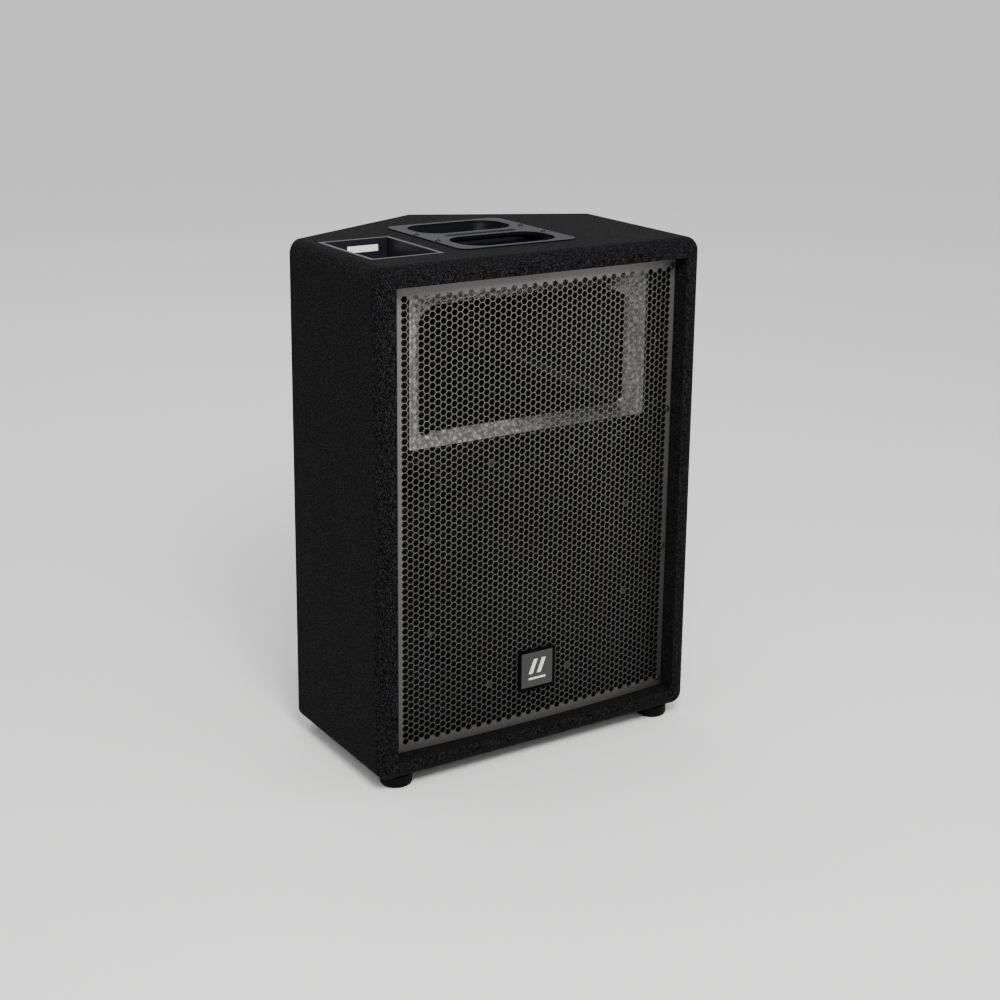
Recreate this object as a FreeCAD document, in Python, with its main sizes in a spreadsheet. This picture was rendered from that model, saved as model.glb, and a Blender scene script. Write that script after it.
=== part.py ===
import FreeCAD, Part
import math
import os
from types import SimpleNamespace

import Sketcher
from FreeCAD import Placement, Rotation, Vector

# Stage monitor wedge: a carpeted plywood cabinet with a five-sided plan, standing on its end panel.
# X is the width, -Y is the front, +Z is up. The floor under the feet is at zero height, and the
# sub-parts measure their y from the front lip, which put() moves to the middle of the depth.

SIZES = {
    # cabinet
    "box_width": 438, "box_height": 597, "box_depth": 320, "rear_angle": 26.15,
    "ply": 18, "carpet": 2.5, "edge_round": 16, "lip_depth": 22.4, "baffle_front": 38,
    # feet
    "foot_height": 14, "foot_radius": 19, "foot_across": 185, "foot_front": 27,
    "rear_foot_across": 150, "rear_foot_back": 205, "foot_recess_radius": 8, "foot_recess": 7,
    "foot_screw_radius": 2.4, "foot_screw_head": 5,
    # grille and badge
    "grille_gap": 1.5, "grille_sheet": 1.2, "grille_bow": 6.5, "batten_width": 14,
    "grille_screw_across": 189.5, "grille_screw_pitch": 175.6, "grille_screw_head": 3.6,
    "badge_side": 44, "badge_border": 3.5, "badge_thick": 3, "badge_height": 106,
    # handle
    "handle_middle": 148.5, "handle_half_width": 80, "handle_half_length": 91.5, "handle_plate": 4,
    "handle_corner": 14, "cup_half_width": 64, "cup_half_length": 83, "cup_depth": 48, "cup_draft": 10,
    "cup_wall": 2.5, "cup_corner": 28, "bar_half_width": 15, "bar_thick": 16, "handle_screw_across": 73,
    "handle_screw_half_pitch": 25,
    # connector dish and sockets
    "dish_left": -198, "dish_right": -105, "dish_front": 53, "dish_back": 183, "dish_rim": 5,
    "dish_steel": 1.5, "dish_depth": 48, "dish_gasket": 1.5, "socket_across": -151.5,
    "socket_front": 88, "socket_back": 148, "socket_barrel": 11.9, "socket_length": 30,
    "socket_flange": 2.5, "socket_core": 5.5, "socket_mouth": 9.8, "socket_reach": 18,
    "socket_screw_x": 9.5, "socket_screw_y": 12, "dish_screw_depth": 9,
    # woofer, measured from the baffle's front face towards the listener
    "woofer_height": 229, "woofer_radius": 155, "woofer_hole": 142, "woofer_flange": 4.3,
    "woofer_bolt_circle": 148.5, "basket_sheet": 3, "cone_edge": 112, "cone_neck": 32,
    "coil_inside": 31, "pole_radius": 29.8, "gap_radius": 33.4, "magnet_radius": 78,
    "top_plate_back": -88, "top_plate_front": -80, "magnet_back": -108, "back_plate_back": -118,
    # horn and compression driver, measured the same way
    "horn_height": 485, "horn_flange_x": 183, "horn_flange_y": 95, "horn_flange": 4.3,
    "horn_rim": 4.5, "horn_wall": 3, "throat_radius": 12.7, "throat_back": -120,
    "horn_screw_across": 177, "horn_screw_pitch": 80, "driver_radius": 48, "driver_bolt_circle": 38.1,
    # ports
    "port_across": 150, "port_height": 350, "port_inside": 28, "port_outside": 31, "port_length": 100,
    # crossover, measured inward from the left side panel
    "board_front": 78, "board_bottom": 92, "board_long": 110, "board_high": 120, "board_sheet": 1.6,
    "board_stand": 6, "board_screw_inset": 7,
    # shared
    "screw_radius": 1.9, "hole_play": 0.05, "lead_radius": 2.2, "tinsel_radius": 0.8,
}

FRONT = Rotation(Vector(1, 0, 0), 90)
UPRIGHT = Rotation()
SIDE = Rotation(Vector(1, 1, 1), 120)


class Size:
    """A length held both as a number and as the sheet expression that gives it."""

    def __init__(self, value, text=None):
        self.value = value
        self.text = text or repr(value)

    def join(self, sign, other, value):
        return Size(value, "(" + self.text + " " + sign + " " + other.text + ")")

    def __add__(self, other):
        other = size_of(other)
        return self.join("+", other, self.value + other.value)

    def __sub__(self, other):
        other = size_of(other)
        return self.join("-", other, self.value - other.value)

    def __mul__(self, other):
        other = size_of(other)
        return self.join("*", other, self.value * other.value)

    def __truediv__(self, other):
        other = size_of(other)
        return self.join("/", other, self.value / other.value)

    def __radd__(self, other):
        return size_of(other) + self

    def __rsub__(self, other):
        return size_of(other) - self

    def __rmul__(self, other):
        return size_of(other) * self

    def __neg__(self):
        return size_of(0) - self


def size_of(number):
    return number if isinstance(number, Size) else Size(number)


doc = FreeCAD.newDocument("StageMonitorWedge")
sheet = doc.addObject("Spreadsheet::Sheet", "dim")
for row, (alias, number) in enumerate(SIZES.items(), 1):
    sheet.set("A%d" % row, alias)
    sheet.set("B%d" % row, str(number))
    sheet.setAlias("B%d" % row, alias)
doc.recompute()
dim = SimpleNamespace(**{alias: Size(number, "dim." + alias) for alias, number in SIZES.items()})
nodes = []


def trig(name, angle):
    value = getattr(math, name)(math.radians(angle.value))
    return Size(value, name + "(" + angle.text + " * 1 deg)")


# ---- helpers: sketches and features ----


def bind(thing, name, amount):
    amount = size_of(amount)
    thing.setExpression(name, amount.text)


def put(thing, x=0, y=0, z=0, turn=UPRIGHT):
    """Places a sub-part, with y measured from the front lip."""
    along = size_of(y) - dim.box_depth / 2
    thing.Placement = Placement(Vector(size_of(x).value, along.value, size_of(z).value), turn)
    bind(thing, "Placement.Base.x", x)
    bind(thing, "Placement.Base.y", along)
    bind(thing, "Placement.Base.z", z)
    return thing


def node(thing, label):
    thing.Label = label
    nodes.append(thing)
    return thing


def new_body(label):
    body = doc.addObject("PartDesign::Body", label)
    body.Label = label
    body.AllowCompound = True
    return body


def new_sketch(body, plane="XY_Plane", offset=0):
    sketch = body.newObject("Sketcher::SketchObject", body.Name + "_outline")
    support = [item for item in body.Origin.OriginFeatures if item.Role == plane][0]
    sketch.AttachmentSupport = [(support, "")]
    sketch.MapMode = "FlatFace"
    bind(sketch, "AttachmentOffset.Base.z", offset)
    return sketch


def lock(sketch, geometry, position, x, y):
    """Holds one point of a sketch at two sheet expressions."""
    for kind, amount in (("DistanceX", x), ("DistanceY", y)):
        amount = size_of(amount)
        index = sketch.addConstraint(Sketcher.Constraint(kind, geometry, position, amount.value))
        bind(sketch, "Constraints[%d]" % index, amount)


def flat(point):
    return Vector(size_of(point[0]).value, size_of(point[1]).value, 0)


def polygon(points):
    def draw(sketch):
        first = sketch.GeometryCount
        total = len(points)
        for number, point in enumerate(points):
            sketch.addGeometry(Part.LineSegment(flat(point), flat(points[(number + 1) % total])))
        for number, point in enumerate(points):
            after = first + (number + 1) % total
            sketch.addConstraint(Sketcher.Constraint("Coincident", first + number, 2, after, 1))
            lock(sketch, first + number, 1, point[0], point[1])
    return draw


def rectangle(left, low, right, high):
    return polygon([(left, low), (right, low), (right, high), (left, high)])


def circles(centres, radius):
    def draw(sketch):
        radius_size = size_of(radius)
        for centre in centres:
            index = sketch.addGeometry(Part.Circle(flat(centre), Vector(0, 0, 1), radius_size.value))
            lock(sketch, index, 3, centre[0], centre[1])
            held = sketch.addConstraint(Sketcher.Constraint("Radius", index, radius_size.value))
            bind(sketch, "Constraints[%d]" % held, radius_size)
    return draw


def rounded(left, low, right, high, radius):
    """A rectangle whose corners are quarter circles."""
    radius = size_of(radius)
    left, low, right, high = [size_of(amount) for amount in (left, low, right, high)]
    sides = [
        ((left + radius, low), (right - radius, low), (right - radius, low + radius), -90),
        ((right, low + radius), (right, high - radius), (right - radius, high - radius), 0),
        ((right - radius, high), (left + radius, high), (left + radius, high - radius), 90),
        ((left, high - radius), (left, low + radius), (left + radius, low + radius), 180),
    ]

    def draw(sketch):
        first = sketch.GeometryCount
        for start, end, centre, angle in sides:
            sketch.addGeometry(Part.LineSegment(flat(start), flat(end)))
            ring = Part.Circle(flat(centre), Vector(0, 0, 1), radius.value)
            turn = math.radians(angle)
            sketch.addGeometry(Part.ArcOfCircle(ring, turn, turn + math.pi / 2))
        for number, (start, end, centre, angle) in enumerate(sides):
            line = first + 2 * number
            following = first + (2 * number + 2) % 8
            sketch.addConstraint(Sketcher.Constraint("Coincident", line, 2, line + 1, 1))
            sketch.addConstraint(Sketcher.Constraint("Coincident", line + 1, 2, following, 1))
            lock(sketch, line, 1, start[0], start[1])
            lock(sketch, line, 2, end[0], end[1])
            held = sketch.addConstraint(Sketcher.Constraint("Radius", line + 1, radius.value))
            bind(sketch, "Constraints[%d]" % held, radius)
    return draw


def layer(body, draw, low, high, plane="XY_Plane"):
    """Adds material between two heights over the plane."""
    sketch = new_sketch(body, plane, low)
    draw(sketch)
    feature = body.newObject("PartDesign::Pad", body.Name + "_pad")
    feature.Profile = sketch
    bind(feature, "Length", size_of(high) - low)
    body.Tip = feature
    return feature


def carve(body, draw, low, high, plane="XY_Plane"):
    """Takes material away between two heights, and insists that something was cut."""
    doc.recompute()
    before = body.Shape.Volume
    sketch = new_sketch(body, plane, high)
    draw(sketch)
    feature = body.newObject("PartDesign::Pocket", body.Name + "_pocket")
    feature.Profile = sketch
    bind(feature, "Length", size_of(high) - low)
    body.Tip = feature
    doc.recompute()
    if body.Shape.Volume > before - 1e-3:
        raise ValueError(body.Label + ": a pocket cuts nothing")
    return feature


def slab(label, draw, low, high):
    body = new_body(label)
    layer(body, draw, low, high)
    return body


def turned(label, points):
    """Turns an outline of (radius, height) points about the sub-part's own Z axis."""
    body = new_body(label)
    sketch = new_sketch(body, "XZ_Plane")
    polygon(points)(sketch)
    feature = body.newObject("PartDesign::Revolution", body.Name + "_turn")
    feature.Profile = sketch
    feature.ReferenceAxis = (sketch, ["V_Axis"])
    feature.Angle = 360
    body.Tip = feature
    return body


def ring(inner, outer, low, high):
    return [(inner, low), (outer, low), (outer, high), (inner, high)]


def loft(body, stations, draw_at, kind):
    """Joins outlines at several heights, straight from one to the next."""
    sketches = []
    for station in stations:
        sketch = new_sketch(body, "XY_Plane", station[0])
        draw_at(*station[1:])(sketch)
        sketches.append(sketch)
    feature = body.newObject("PartDesign::" + kind, body.Name + "_loft")
    feature.Profile = sketches[0]
    feature.Sections = sketches[1:]
    feature.Ruled = True
    body.Tip = feature
    return feature


def soften(body, chosen, radius):
    """Rounds the edges that the test picks."""
    doc.recompute()
    base = body.Tip
    names = ["Edge%d" % (n + 1) for n, edge in enumerate(base.Shape.Edges) if chosen(edge)]
    if not names:
        raise ValueError(body.Label + ": no edge to round")
    feature = body.newObject("PartDesign::Fillet", body.Name + "_round")
    feature.Base = (base, names)
    bind(feature, "Radius", radius)
    body.Tip = feature
    return feature


def combine(kind, label, base, tool):
    feature = doc.addObject("Part::" + kind, label)
    feature.Base = base
    feature.Tool = tool
    return feature


def ring_of(radius, count, first_angle):
    """Points spread evenly on a circle."""
    points = []
    for number in range(count):
        angle = math.radians(first_angle + 360 * number / count)
        points.append((radius * math.cos(angle), radius * math.sin(angle)))
    return points


def fasteners(label, centres, head, head_low, head_high, shank, shank_low):
    """A set of identical screws along Z: round heads over plain shanks."""
    body = new_body(label)
    layer(body, circles(centres, head), head_low, head_high)
    layer(body, circles(centres, shank), shank_low, head_low)
    return body


# ---- sizes that several sub-parts share ----

half_width = dim.box_width / 2
slope = trig("tan", dim.rear_angle)
slant = trig("cos", dim.rear_angle)
floor_panel = dim.foot_height + dim.carpet
roof_panel = dim.foot_height + dim.box_height - dim.carpet
room_low = floor_panel + dim.ply
room_high = roof_panel - dim.ply
room_half = half_width - dim.carpet - dim.ply
lip_half = room_half - dim.carpet
hole_radius = dim.screw_radius + dim.hole_play
lip_seat = dim.baffle_front - dim.lip_depth

grille_screw_heights = [
    (room_low + room_high) / 2 + dim.grille_screw_pitch * (step - 1.5) for step in range(4)
]
foot_places = [
    (side * across, back)
    for across, back in ((dim.foot_across, dim.foot_front), (dim.rear_foot_across, dim.rear_foot_back))
    for side in (-1, 1)
]


def plan_corners(inset):
    """Right rear corner and apex of the five-sided plan, set in from the outer face."""
    across = half_width - inset
    apex = dim.box_depth - size_of(inset) / slant
    return across, apex - slope * across, apex


# ---- cabinet ----


def make_block(label, inset):
    across, corner, apex = plan_corners(inset)
    points = [(-across, inset), (across, inset), (across, corner), (0, apex), (-across, corner)]
    low = dim.foot_height + inset
    high = dim.foot_height + dim.box_height - inset
    block = slab(label, polygon(points), low, high)

    def on_rounded_edge(edge):
        ends = [vertex.Point for vertex in edge.Vertexes]
        at_front = all(abs(point.y - inset.value) < 1e-3 for point in ends)
        at_side = all(abs(abs(point.x) - across.value) < 1e-3 for point in ends)
        upright = abs(ends[0].z - ends[1].z) > 1
        return (at_front and at_side) if upright else (at_front or at_side)

    soften(block, on_rounded_edge, dim.edge_round - inset)
    return put(block)


carpet_block = make_block("carpet_block", dim.carpet * 0)
ply_block = make_block("ply_block", dim.carpet)


def make_side_and_rear_panels():
    outer = plan_corners(dim.carpet)
    inner = plan_corners(dim.carpet + dim.ply)
    for side, name in ((-1, "left"), (1, "right")):
        flank = [
            (side * outer[0], dim.carpet), (side * outer[0], outer[1]),
            (side * inner[0], inner[1]), (side * inner[0], dim.carpet),
        ]
        blank = put(slab(name + "_side_blank", polygon(flank), room_low, room_high))
        node(combine("Common", name + "_side_cut", ply_block, blank), name + "_side_panel")
        rear = [
            (side * outer[0], outer[1]), (0, outer[2]), (0, inner[2]), (side * inner[0], inner[1]),
        ]
        node(put(slab(name + "_rear", polygon(rear), room_low, room_high)), name + "_rear_panel")


def cup_opening(extra):
    across = dim.cup_half_width + extra
    along = dim.cup_half_length + extra
    middle = dim.handle_middle
    return rounded(-across, middle - along, across, middle + along, dim.cup_corner)


def dish_opening(extra):
    grow = extra - dim.dish_rim
    return rectangle(
        dim.dish_left - grow, dim.dish_front - grow, dim.dish_right + grow, dim.dish_back + grow
    )


def plate_outline(extra):
    across = dim.handle_half_width + extra
    along = dim.handle_half_length + extra
    middle = dim.handle_middle
    return rounded(-across, middle - along, across, middle + along, dim.handle_corner)


handle_screws_at = [
    (side * dim.handle_screw_across, dim.handle_middle + end * dim.handle_screw_half_pitch)
    for side in (-1, 1)
    for end in (-1, 1)
]
dish_screw_z = roof_panel - dim.dish_screw_depth
dish_front_screws = [(dim.dish_left + 25, dish_screw_z), (dim.dish_right - 25, dish_screw_z)]
dish_side_screws = [(dim.dish_front + 30, dish_screw_z), (dim.dish_back - 30, dish_screw_z)]


def make_end_panels():
    whole = rectangle(-half_width, 0, half_width, dim.box_depth)
    top = slab("top_blank", whole, room_high, roof_panel)
    carve(top, cup_opening(dim.cup_wall + 1), room_high, roof_panel)
    carve(top, dish_opening(dim.dish_steel + 1), room_high, roof_panel)
    carve(top, circles(handle_screws_at, hole_radius), room_high, roof_panel)
    # The XZ plane faces the front, so heights over it run towards -Y.
    deepest = -dim.dish_front - 10
    carve(top, circles(dish_front_screws, hole_radius), deepest, -dim.dish_front + 16, "XZ_Plane")
    carve(top, circles(dish_side_screws, hole_radius), dim.dish_left - 14, dim.dish_left + 4, "YZ_Plane")
    put(top)
    node(combine("Common", "top_cut", ply_block, top), "top_panel")
    bottom = slab("bottom_blank", whole, floor_panel, room_low)
    carve(bottom, circles(foot_places, dim.foot_screw_radius + dim.hole_play), floor_panel, room_low)
    put(bottom)
    node(combine("Common", "bottom_cut", ply_block, bottom), "bottom_panel")


def make_carpet():
    recess = put(slab("recess", rectangle(-room_half, -1, room_half, dim.lip_depth), room_low, room_high))
    core = combine("Cut", "ply_core", ply_block, recess)
    mouth = slab(
        "mouth", rectangle(-lip_half, -1, lip_half, dim.lip_depth),
        room_low + dim.carpet, room_high - dim.carpet,
    )
    put(mouth)
    hollow = combine("Cut", "carpet_hollow", carpet_block, core)
    skin = combine("Cut", "carpet_skin", hollow, mouth)
    top_seam = dim.foot_height + dim.box_height - dim.edge_round
    bottom_seam = dim.foot_height + dim.edge_round
    whole = rectangle(-half_width - 1, -1, half_width + 1, dim.box_depth + 1)
    middle = put(slab("carpet_middle", whole, bottom_seam, top_seam))
    node(combine("Common", "wrap_cut", skin, middle), "carpet_wrap")
    top = slab("carpet_top_blank", whole, top_seam, top_seam + dim.edge_round + 1)
    carve(top, plate_outline(0.3), top_seam, top_seam + dim.edge_round + 1)
    carve(top, dish_opening(dim.dish_rim + 0.3), top_seam, top_seam + dim.edge_round + 1)
    put(top)
    node(combine("Common", "carpet_top_cut", skin, top), "carpet_top")
    bottom = slab("carpet_bottom_blank", whole, dim.foot_height - 1, bottom_seam)
    holes = circles(foot_places, dim.foot_screw_radius + dim.hole_play)
    carve(bottom, holes, dim.foot_height - 1, bottom_seam)
    put(bottom)
    node(combine("Common", "carpet_bottom_cut", skin, bottom), "carpet_bottom")


woofer_bolts_at = ring_of(dim.woofer_bolt_circle, 8, 22.5)
horn_screws_at = [
    (side * dim.horn_screw_across, step * dim.horn_screw_pitch) for side in (-1, 1) for step in (-1, 0, 1)
]
horn_hole_x = Size(160.5)
horn_hole_y = Size(90.5)


def make_baffle():
    body = slab("baffle", rectangle(-room_half, room_low, room_half, room_high), -dim.ply, 0)
    carve(body, circles([(0, dim.woofer_height)], dim.woofer_hole), -dim.ply, 0)
    mouth = rounded(
        -horn_hole_x, dim.horn_height - horn_hole_y, horn_hole_x, dim.horn_height + horn_hole_y, 16
    )
    carve(body, mouth, -dim.ply, 0)
    ports = [(side * dim.port_across, dim.port_height) for side in (-1, 1)]
    carve(body, circles(ports, dim.port_outside + 0.2), -dim.ply, 0)
    bolts = [(x, y + dim.woofer_height) for x, y in woofer_bolts_at]
    screws = [(x, y + dim.horn_height) for x, y in horn_screws_at]
    carve(body, circles(bolts + screws, hole_radius), -dim.ply, 0)
    node(put(body, 0, dim.baffle_front, 0, FRONT), "baffle")


def make_battens():
    battens = new_body("battens")
    for side in (-1, 1):
        inner = side * (room_half - dim.batten_width)
        layer(battens, rectangle(inner, room_low, side * room_half, room_high), 0, lip_seat)
    screws = [
        (side * dim.grille_screw_across, height) for side in (-1, 1) for height in grille_screw_heights
    ]
    carve(battens, circles(screws, hole_radius), 0, lip_seat)
    node(put(battens, 0, dim.baffle_front, 0, FRONT), "grille_battens")


def make_ports():
    for side, name in ((-1, "left"), (1, "right")):
        outline = [
            (dim.port_inside, -dim.port_length), (dim.port_outside, -dim.port_length),
            (dim.port_outside, 0), (dim.port_inside, 0),
        ]
        tube = turned(name + "_port", outline)
        across = side * dim.port_across
        node(put(tube, across, dim.baffle_front, dim.port_height, FRONT), name + "_port_tube")


# ---- grille and badge ----

grille_half = lip_half - dim.grille_gap
grille_low = room_low + dim.carpet + dim.grille_gap
grille_high = room_high - dim.carpet - dim.grille_gap
grille_screws_at = [
    (side * dim.grille_screw_across, height) for side in (-1, 1) for height in grille_screw_heights
]


def bowed_strip(sketch):
    """Plan of the grille: a sheet that springs forward between its two rows of screws."""
    front = dim.lip_depth - dim.grille_sheet
    radius = (grille_half * grille_half + dim.grille_bow * dim.grille_bow) / (2 * dim.grille_bow)
    for edge in (front, dim.lip_depth):
        ends = [flat((-grille_half, edge)), flat((0, edge - dim.grille_bow)), flat((grille_half, edge))]
        sketch.addGeometry(Part.Arc(*ends))
    for side in (-1, 1):
        edge = side * grille_half
        sketch.addGeometry(Part.LineSegment(flat((edge, front)), flat((edge, dim.lip_depth))))
    for arc, edge in ((0, front), (1, dim.lip_depth)):
        low_end = 1 if sketch.Geometry[arc].StartPoint.x < 0 else 2
        lock(sketch, arc, low_end, -grille_half, edge)
        lock(sketch, arc, 3 - low_end, grille_half, edge)
        held = sketch.addConstraint(Sketcher.Constraint("Radius", arc, radius.value))
        bind(sketch, "Constraints[%d]" % held, radius)
        sketch.addConstraint(Sketcher.Constraint("Coincident", 2, 1 + arc, arc, low_end))
        sketch.addConstraint(Sketcher.Constraint("Coincident", 3, 1 + arc, arc, 3 - low_end))


def make_grille():
    body = new_body("grille_sheet")
    layer(body, bowed_strip, grille_low, grille_high)
    screws = circles(grille_screws_at, dim.screw_radius + 0.3)
    carve(body, screws, -dim.lip_depth - 2, -dim.lip_depth + dim.grille_sheet + 6, "XZ_Plane")
    node(put(body), "grille")
    seat = lip_seat + dim.grille_sheet + 0.65
    body = fasteners(
        "grille_fixings", grille_screws_at, dim.grille_screw_head, seat, seat + 2.2, dim.screw_radius, 1
    )
    node(put(body, 0, dim.baffle_front, 0, FRONT), "grille_screws")


def make_badge():
    half = dim.badge_side / 2
    outer = half + dim.badge_border
    back = lip_seat + dim.grille_sheet + dim.grille_bow + 0.1
    height = dim.badge_height
    border = rounded(-outer, height - outer, outer, height + outer, 3)
    body = slab("badge_tray", border, back, back + dim.badge_thick)
    pocket = rounded(-half - 0.2, height - half - 0.2, half + 0.2, height + half + 0.2, 1.5)
    carve(body, pocket, back + 1, back + dim.badge_thick)
    node(put(body, 0, dim.baffle_front, 0, FRONT), "badge_frame")
    face = rounded(-half, height - half, half, height + half, 1.3)
    plate = slab("badge_face", face, back + 1, back + 2.6)
    node(put(plate, 0, dim.baffle_front, 0, FRONT), "badge_plate")


# ---- handle ----


def make_handle():
    middle = dim.handle_middle

    def cup(across, along):
        return rounded(-across, middle - along, across, middle + along, dim.cup_corner)

    body = slab("handle_moulding", plate_outline(0), 0, dim.handle_plate)
    wall = dim.cup_wall
    top = (dim.cup_half_width + wall, dim.cup_half_length + wall)
    low = (top[0] - dim.cup_draft, top[1] - dim.cup_draft)
    loft(body, [(-dim.cup_depth - wall,) + low, (size_of(0),) + top], cup, "AdditiveLoft")
    top = (dim.cup_half_width, dim.cup_half_length)
    low = (top[0] - dim.cup_draft, top[1] - dim.cup_draft)
    loft(body, [(-dim.cup_depth,) + low, (size_of(0),) + top], cup, "SubtractiveLoft")
    # The bar runs out to the plate in a curve, so the plate has two openings with round corners.
    across = dim.cup_half_width
    for near, far in ((-dim.cup_half_length, -dim.bar_half_width), (dim.bar_half_width, dim.cup_half_length)):
        gap = rounded(-across, middle + near, across, middle + far, dim.cup_corner)
        carve(body, gap, 0, dim.handle_plate)
    bar = rounded(
        middle - dim.bar_half_width, -dim.bar_thick, middle + dim.bar_half_width, 0, 7
    )
    reach = dim.cup_half_width + 1
    layer(body, bar, -reach, reach, "YZ_Plane")
    carve(body, circles(handle_screws_at, dim.screw_radius + 0.3), 0, dim.handle_plate)
    node(put(body, 0, 0, roof_panel), "handle")
    seat = dim.handle_plate + 0.05
    tip = 1 - dim.ply
    body = fasteners("handle_fixings", handle_screws_at, 3.6, seat, seat + 2, dim.screw_radius, tip)
    node(put(body, 0, 0, roof_panel), "handle_screws")


# ---- connector dish, sockets and label ----

sockets = (("input_socket", dim.socket_front), ("link_socket", dim.socket_back))


def make_dish():
    seat = dim.dish_gasket
    flange = seat + dim.dish_steel
    body = slab("dish_flange", dish_opening(dim.dish_rim), seat, flange)
    layer(body, dish_opening(dim.dish_steel), -dim.dish_depth - dim.dish_steel, seat)
    carve(body, dish_opening(0), -dim.dish_depth, flange)
    holes = [(dim.socket_across, along) for name, along in sockets]
    carve(body, circles(holes, dim.socket_barrel + 0.1), -dim.dish_depth - dim.dish_steel, -dim.dish_depth)
    carve(body, circles(socket_screws_at(), hole_radius), -dim.dish_depth - dim.dish_steel, -dim.dish_depth)
    local = -dim.dish_screw_depth
    front = [(x, local) for x, z in dish_front_screws]
    side = [(y, local) for y, z in dish_side_screws]
    inner = dim.dish_front + dim.dish_rim
    carve(body, circles(front, hole_radius), -inner, -inner + 2, "XZ_Plane")
    inner = dim.dish_left + dim.dish_rim
    carve(body, circles(side, hole_radius), inner - 2, inner, "YZ_Plane")
    node(put(body, 0, 0, roof_panel), "connector_dish")
    body = slab("gasket_blank", dish_opening(dim.dish_rim), 0, seat)
    carve(body, dish_opening(dim.dish_steel + 0.1), 0, seat)
    node(put(body, 0, 0, roof_panel), "dish_gasket")


def make_dish_screws():
    body = new_body("dish_fixings")
    local = -dim.dish_screw_depth
    front = [(x, local) for x, z in dish_front_screws]
    side = [(y, local) for y, z in dish_side_screws]
    inner = -(dim.dish_front + dim.dish_rim)
    layer(body, circles(front, 3.2), inner - 1.8, inner, "XZ_Plane")
    layer(body, circles(front, dim.screw_radius), inner, inner + 18, "XZ_Plane")
    inner = dim.dish_left + dim.dish_rim
    layer(body, circles(side, 3.2), inner, inner + 1.8, "YZ_Plane")
    layer(body, circles(side, dim.screw_radius), inner - 16, inner, "YZ_Plane")
    node(put(body, 0, 0, roof_panel), "dish_screws")


def socket_screws_at():
    return [
        (dim.socket_across + side * dim.socket_screw_x, along + side * dim.socket_screw_y)
        for name, along in sockets
        for side in (-1, 1)
    ]


def make_sockets():
    blade_rows = [(dx, dy) for dx in (-5, 5) for dy in (-5, 5)]
    blades = new_body("blades")
    for name, along in sockets:
        x = dim.socket_across
        plate = rounded(x - 13, along - 15.5, x + 13, along + 15.5, 2.5)
        body = slab(name + "_shell", plate, 0, dim.socket_flange)
        layer(body, circles([(x, along)], dim.socket_barrel), -dim.socket_length, 0)
        carve(body, circles([(x, along)], dim.socket_mouth), -dim.socket_reach, dim.socket_flange)
        layer(body, circles([(x, along)], dim.socket_core), -dim.socket_reach, dim.socket_flange)
        screws = [(x + side * dim.socket_screw_x, along + side * dim.socket_screw_y) for side in (-1, 1)]
        carve(body, circles(screws, dim.screw_radius + 0.1), 0, dim.socket_flange)
        node(put(body, 0, 0, roof_panel - dim.dish_depth), name)
        for dx, dy in blade_rows:
            tab = rectangle(x + dx - 0.4, along + dy - 2.4, x + dx + 0.4, along + dy + 2.4)
            layer(blades, tab, -dim.socket_length - 9, -dim.socket_length)
    node(put(blades, 0, 0, roof_panel - dim.dish_depth), "socket_contacts")
    seat = dim.socket_flange + 0.05
    body = fasteners("socket_fixings", socket_screws_at(), 2.8, seat, seat + 1.6, dim.screw_radius, -6)
    node(put(body, 0, 0, roof_panel - dim.dish_depth), "socket_screws")


def make_label():
    wall = dim.dish_back - dim.dish_rim
    body = slab("label_plate", rectangle(-162, wall - 0.5, -122, wall), -12, -4.5)
    node(put(body, 0, 0, roof_panel), "blank_label")


# ---- feet ----


def make_feet():
    body = new_body("feet")
    layer(body, circles(foot_places, dim.foot_radius), 0, dim.foot_height)
    carve(body, circles(foot_places, dim.foot_recess_radius), 0, dim.foot_recess)
    carve(body, circles(foot_places, dim.foot_screw_radius + 0.2), dim.foot_recess, dim.foot_height)

    def bottom_rim(edge):
        radius = getattr(edge.Curve, "Radius", 0)
        return radius > dim.foot_recess_radius.value + 1 and abs(edge.CenterOfMass.z) < 1e-3

    soften(body, bottom_rim, 4)
    node(put(body), "rubber_feet")
    body = new_body("foot_fixings")
    head = dim.foot_recess
    layer(body, circles(foot_places, dim.foot_screw_head), head - 3, head)
    layer(body, circles(foot_places, dim.foot_screw_radius), head, room_low - 3)
    node(put(body), "foot_screws")


# ---- woofer ----


def put_woofer(body):
    return put(body, 0, dim.baffle_front, dim.woofer_height, FRONT)


def basket_outline():
    """Half section of the pressed frame: flange, sloping wall, spider ledge and magnet seat."""
    seat = dim.top_plate_front
    inner_seat = seat + dim.basket_sheet
    return [
        (130, dim.woofer_flange), (dim.woofer_radius, dim.woofer_flange), (dim.woofer_radius, 0.3),
        (dim.woofer_hole - 2, 0.3), (dim.woofer_hole - 5, -16), (104, -66), (104, -68), (86, -68),
        (86, seat), (40, seat), (40, inner_seat), (83, inner_seat), (83, -65), (74, -65), (74, -62),
        (101, -62), (dim.woofer_hole - 9, -14), (130, -2),
    ]


def basket_windows(sketch):
    for middle in range(30, 390, 60):
        corners = []
        for radius, angle in ((90, -17), (128, -19), (128, 19), (90, 17)):
            turn = math.radians(middle + angle)
            corners.append((radius * math.cos(turn), radius * math.sin(turn)))
        polygon(corners)(sketch)


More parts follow.
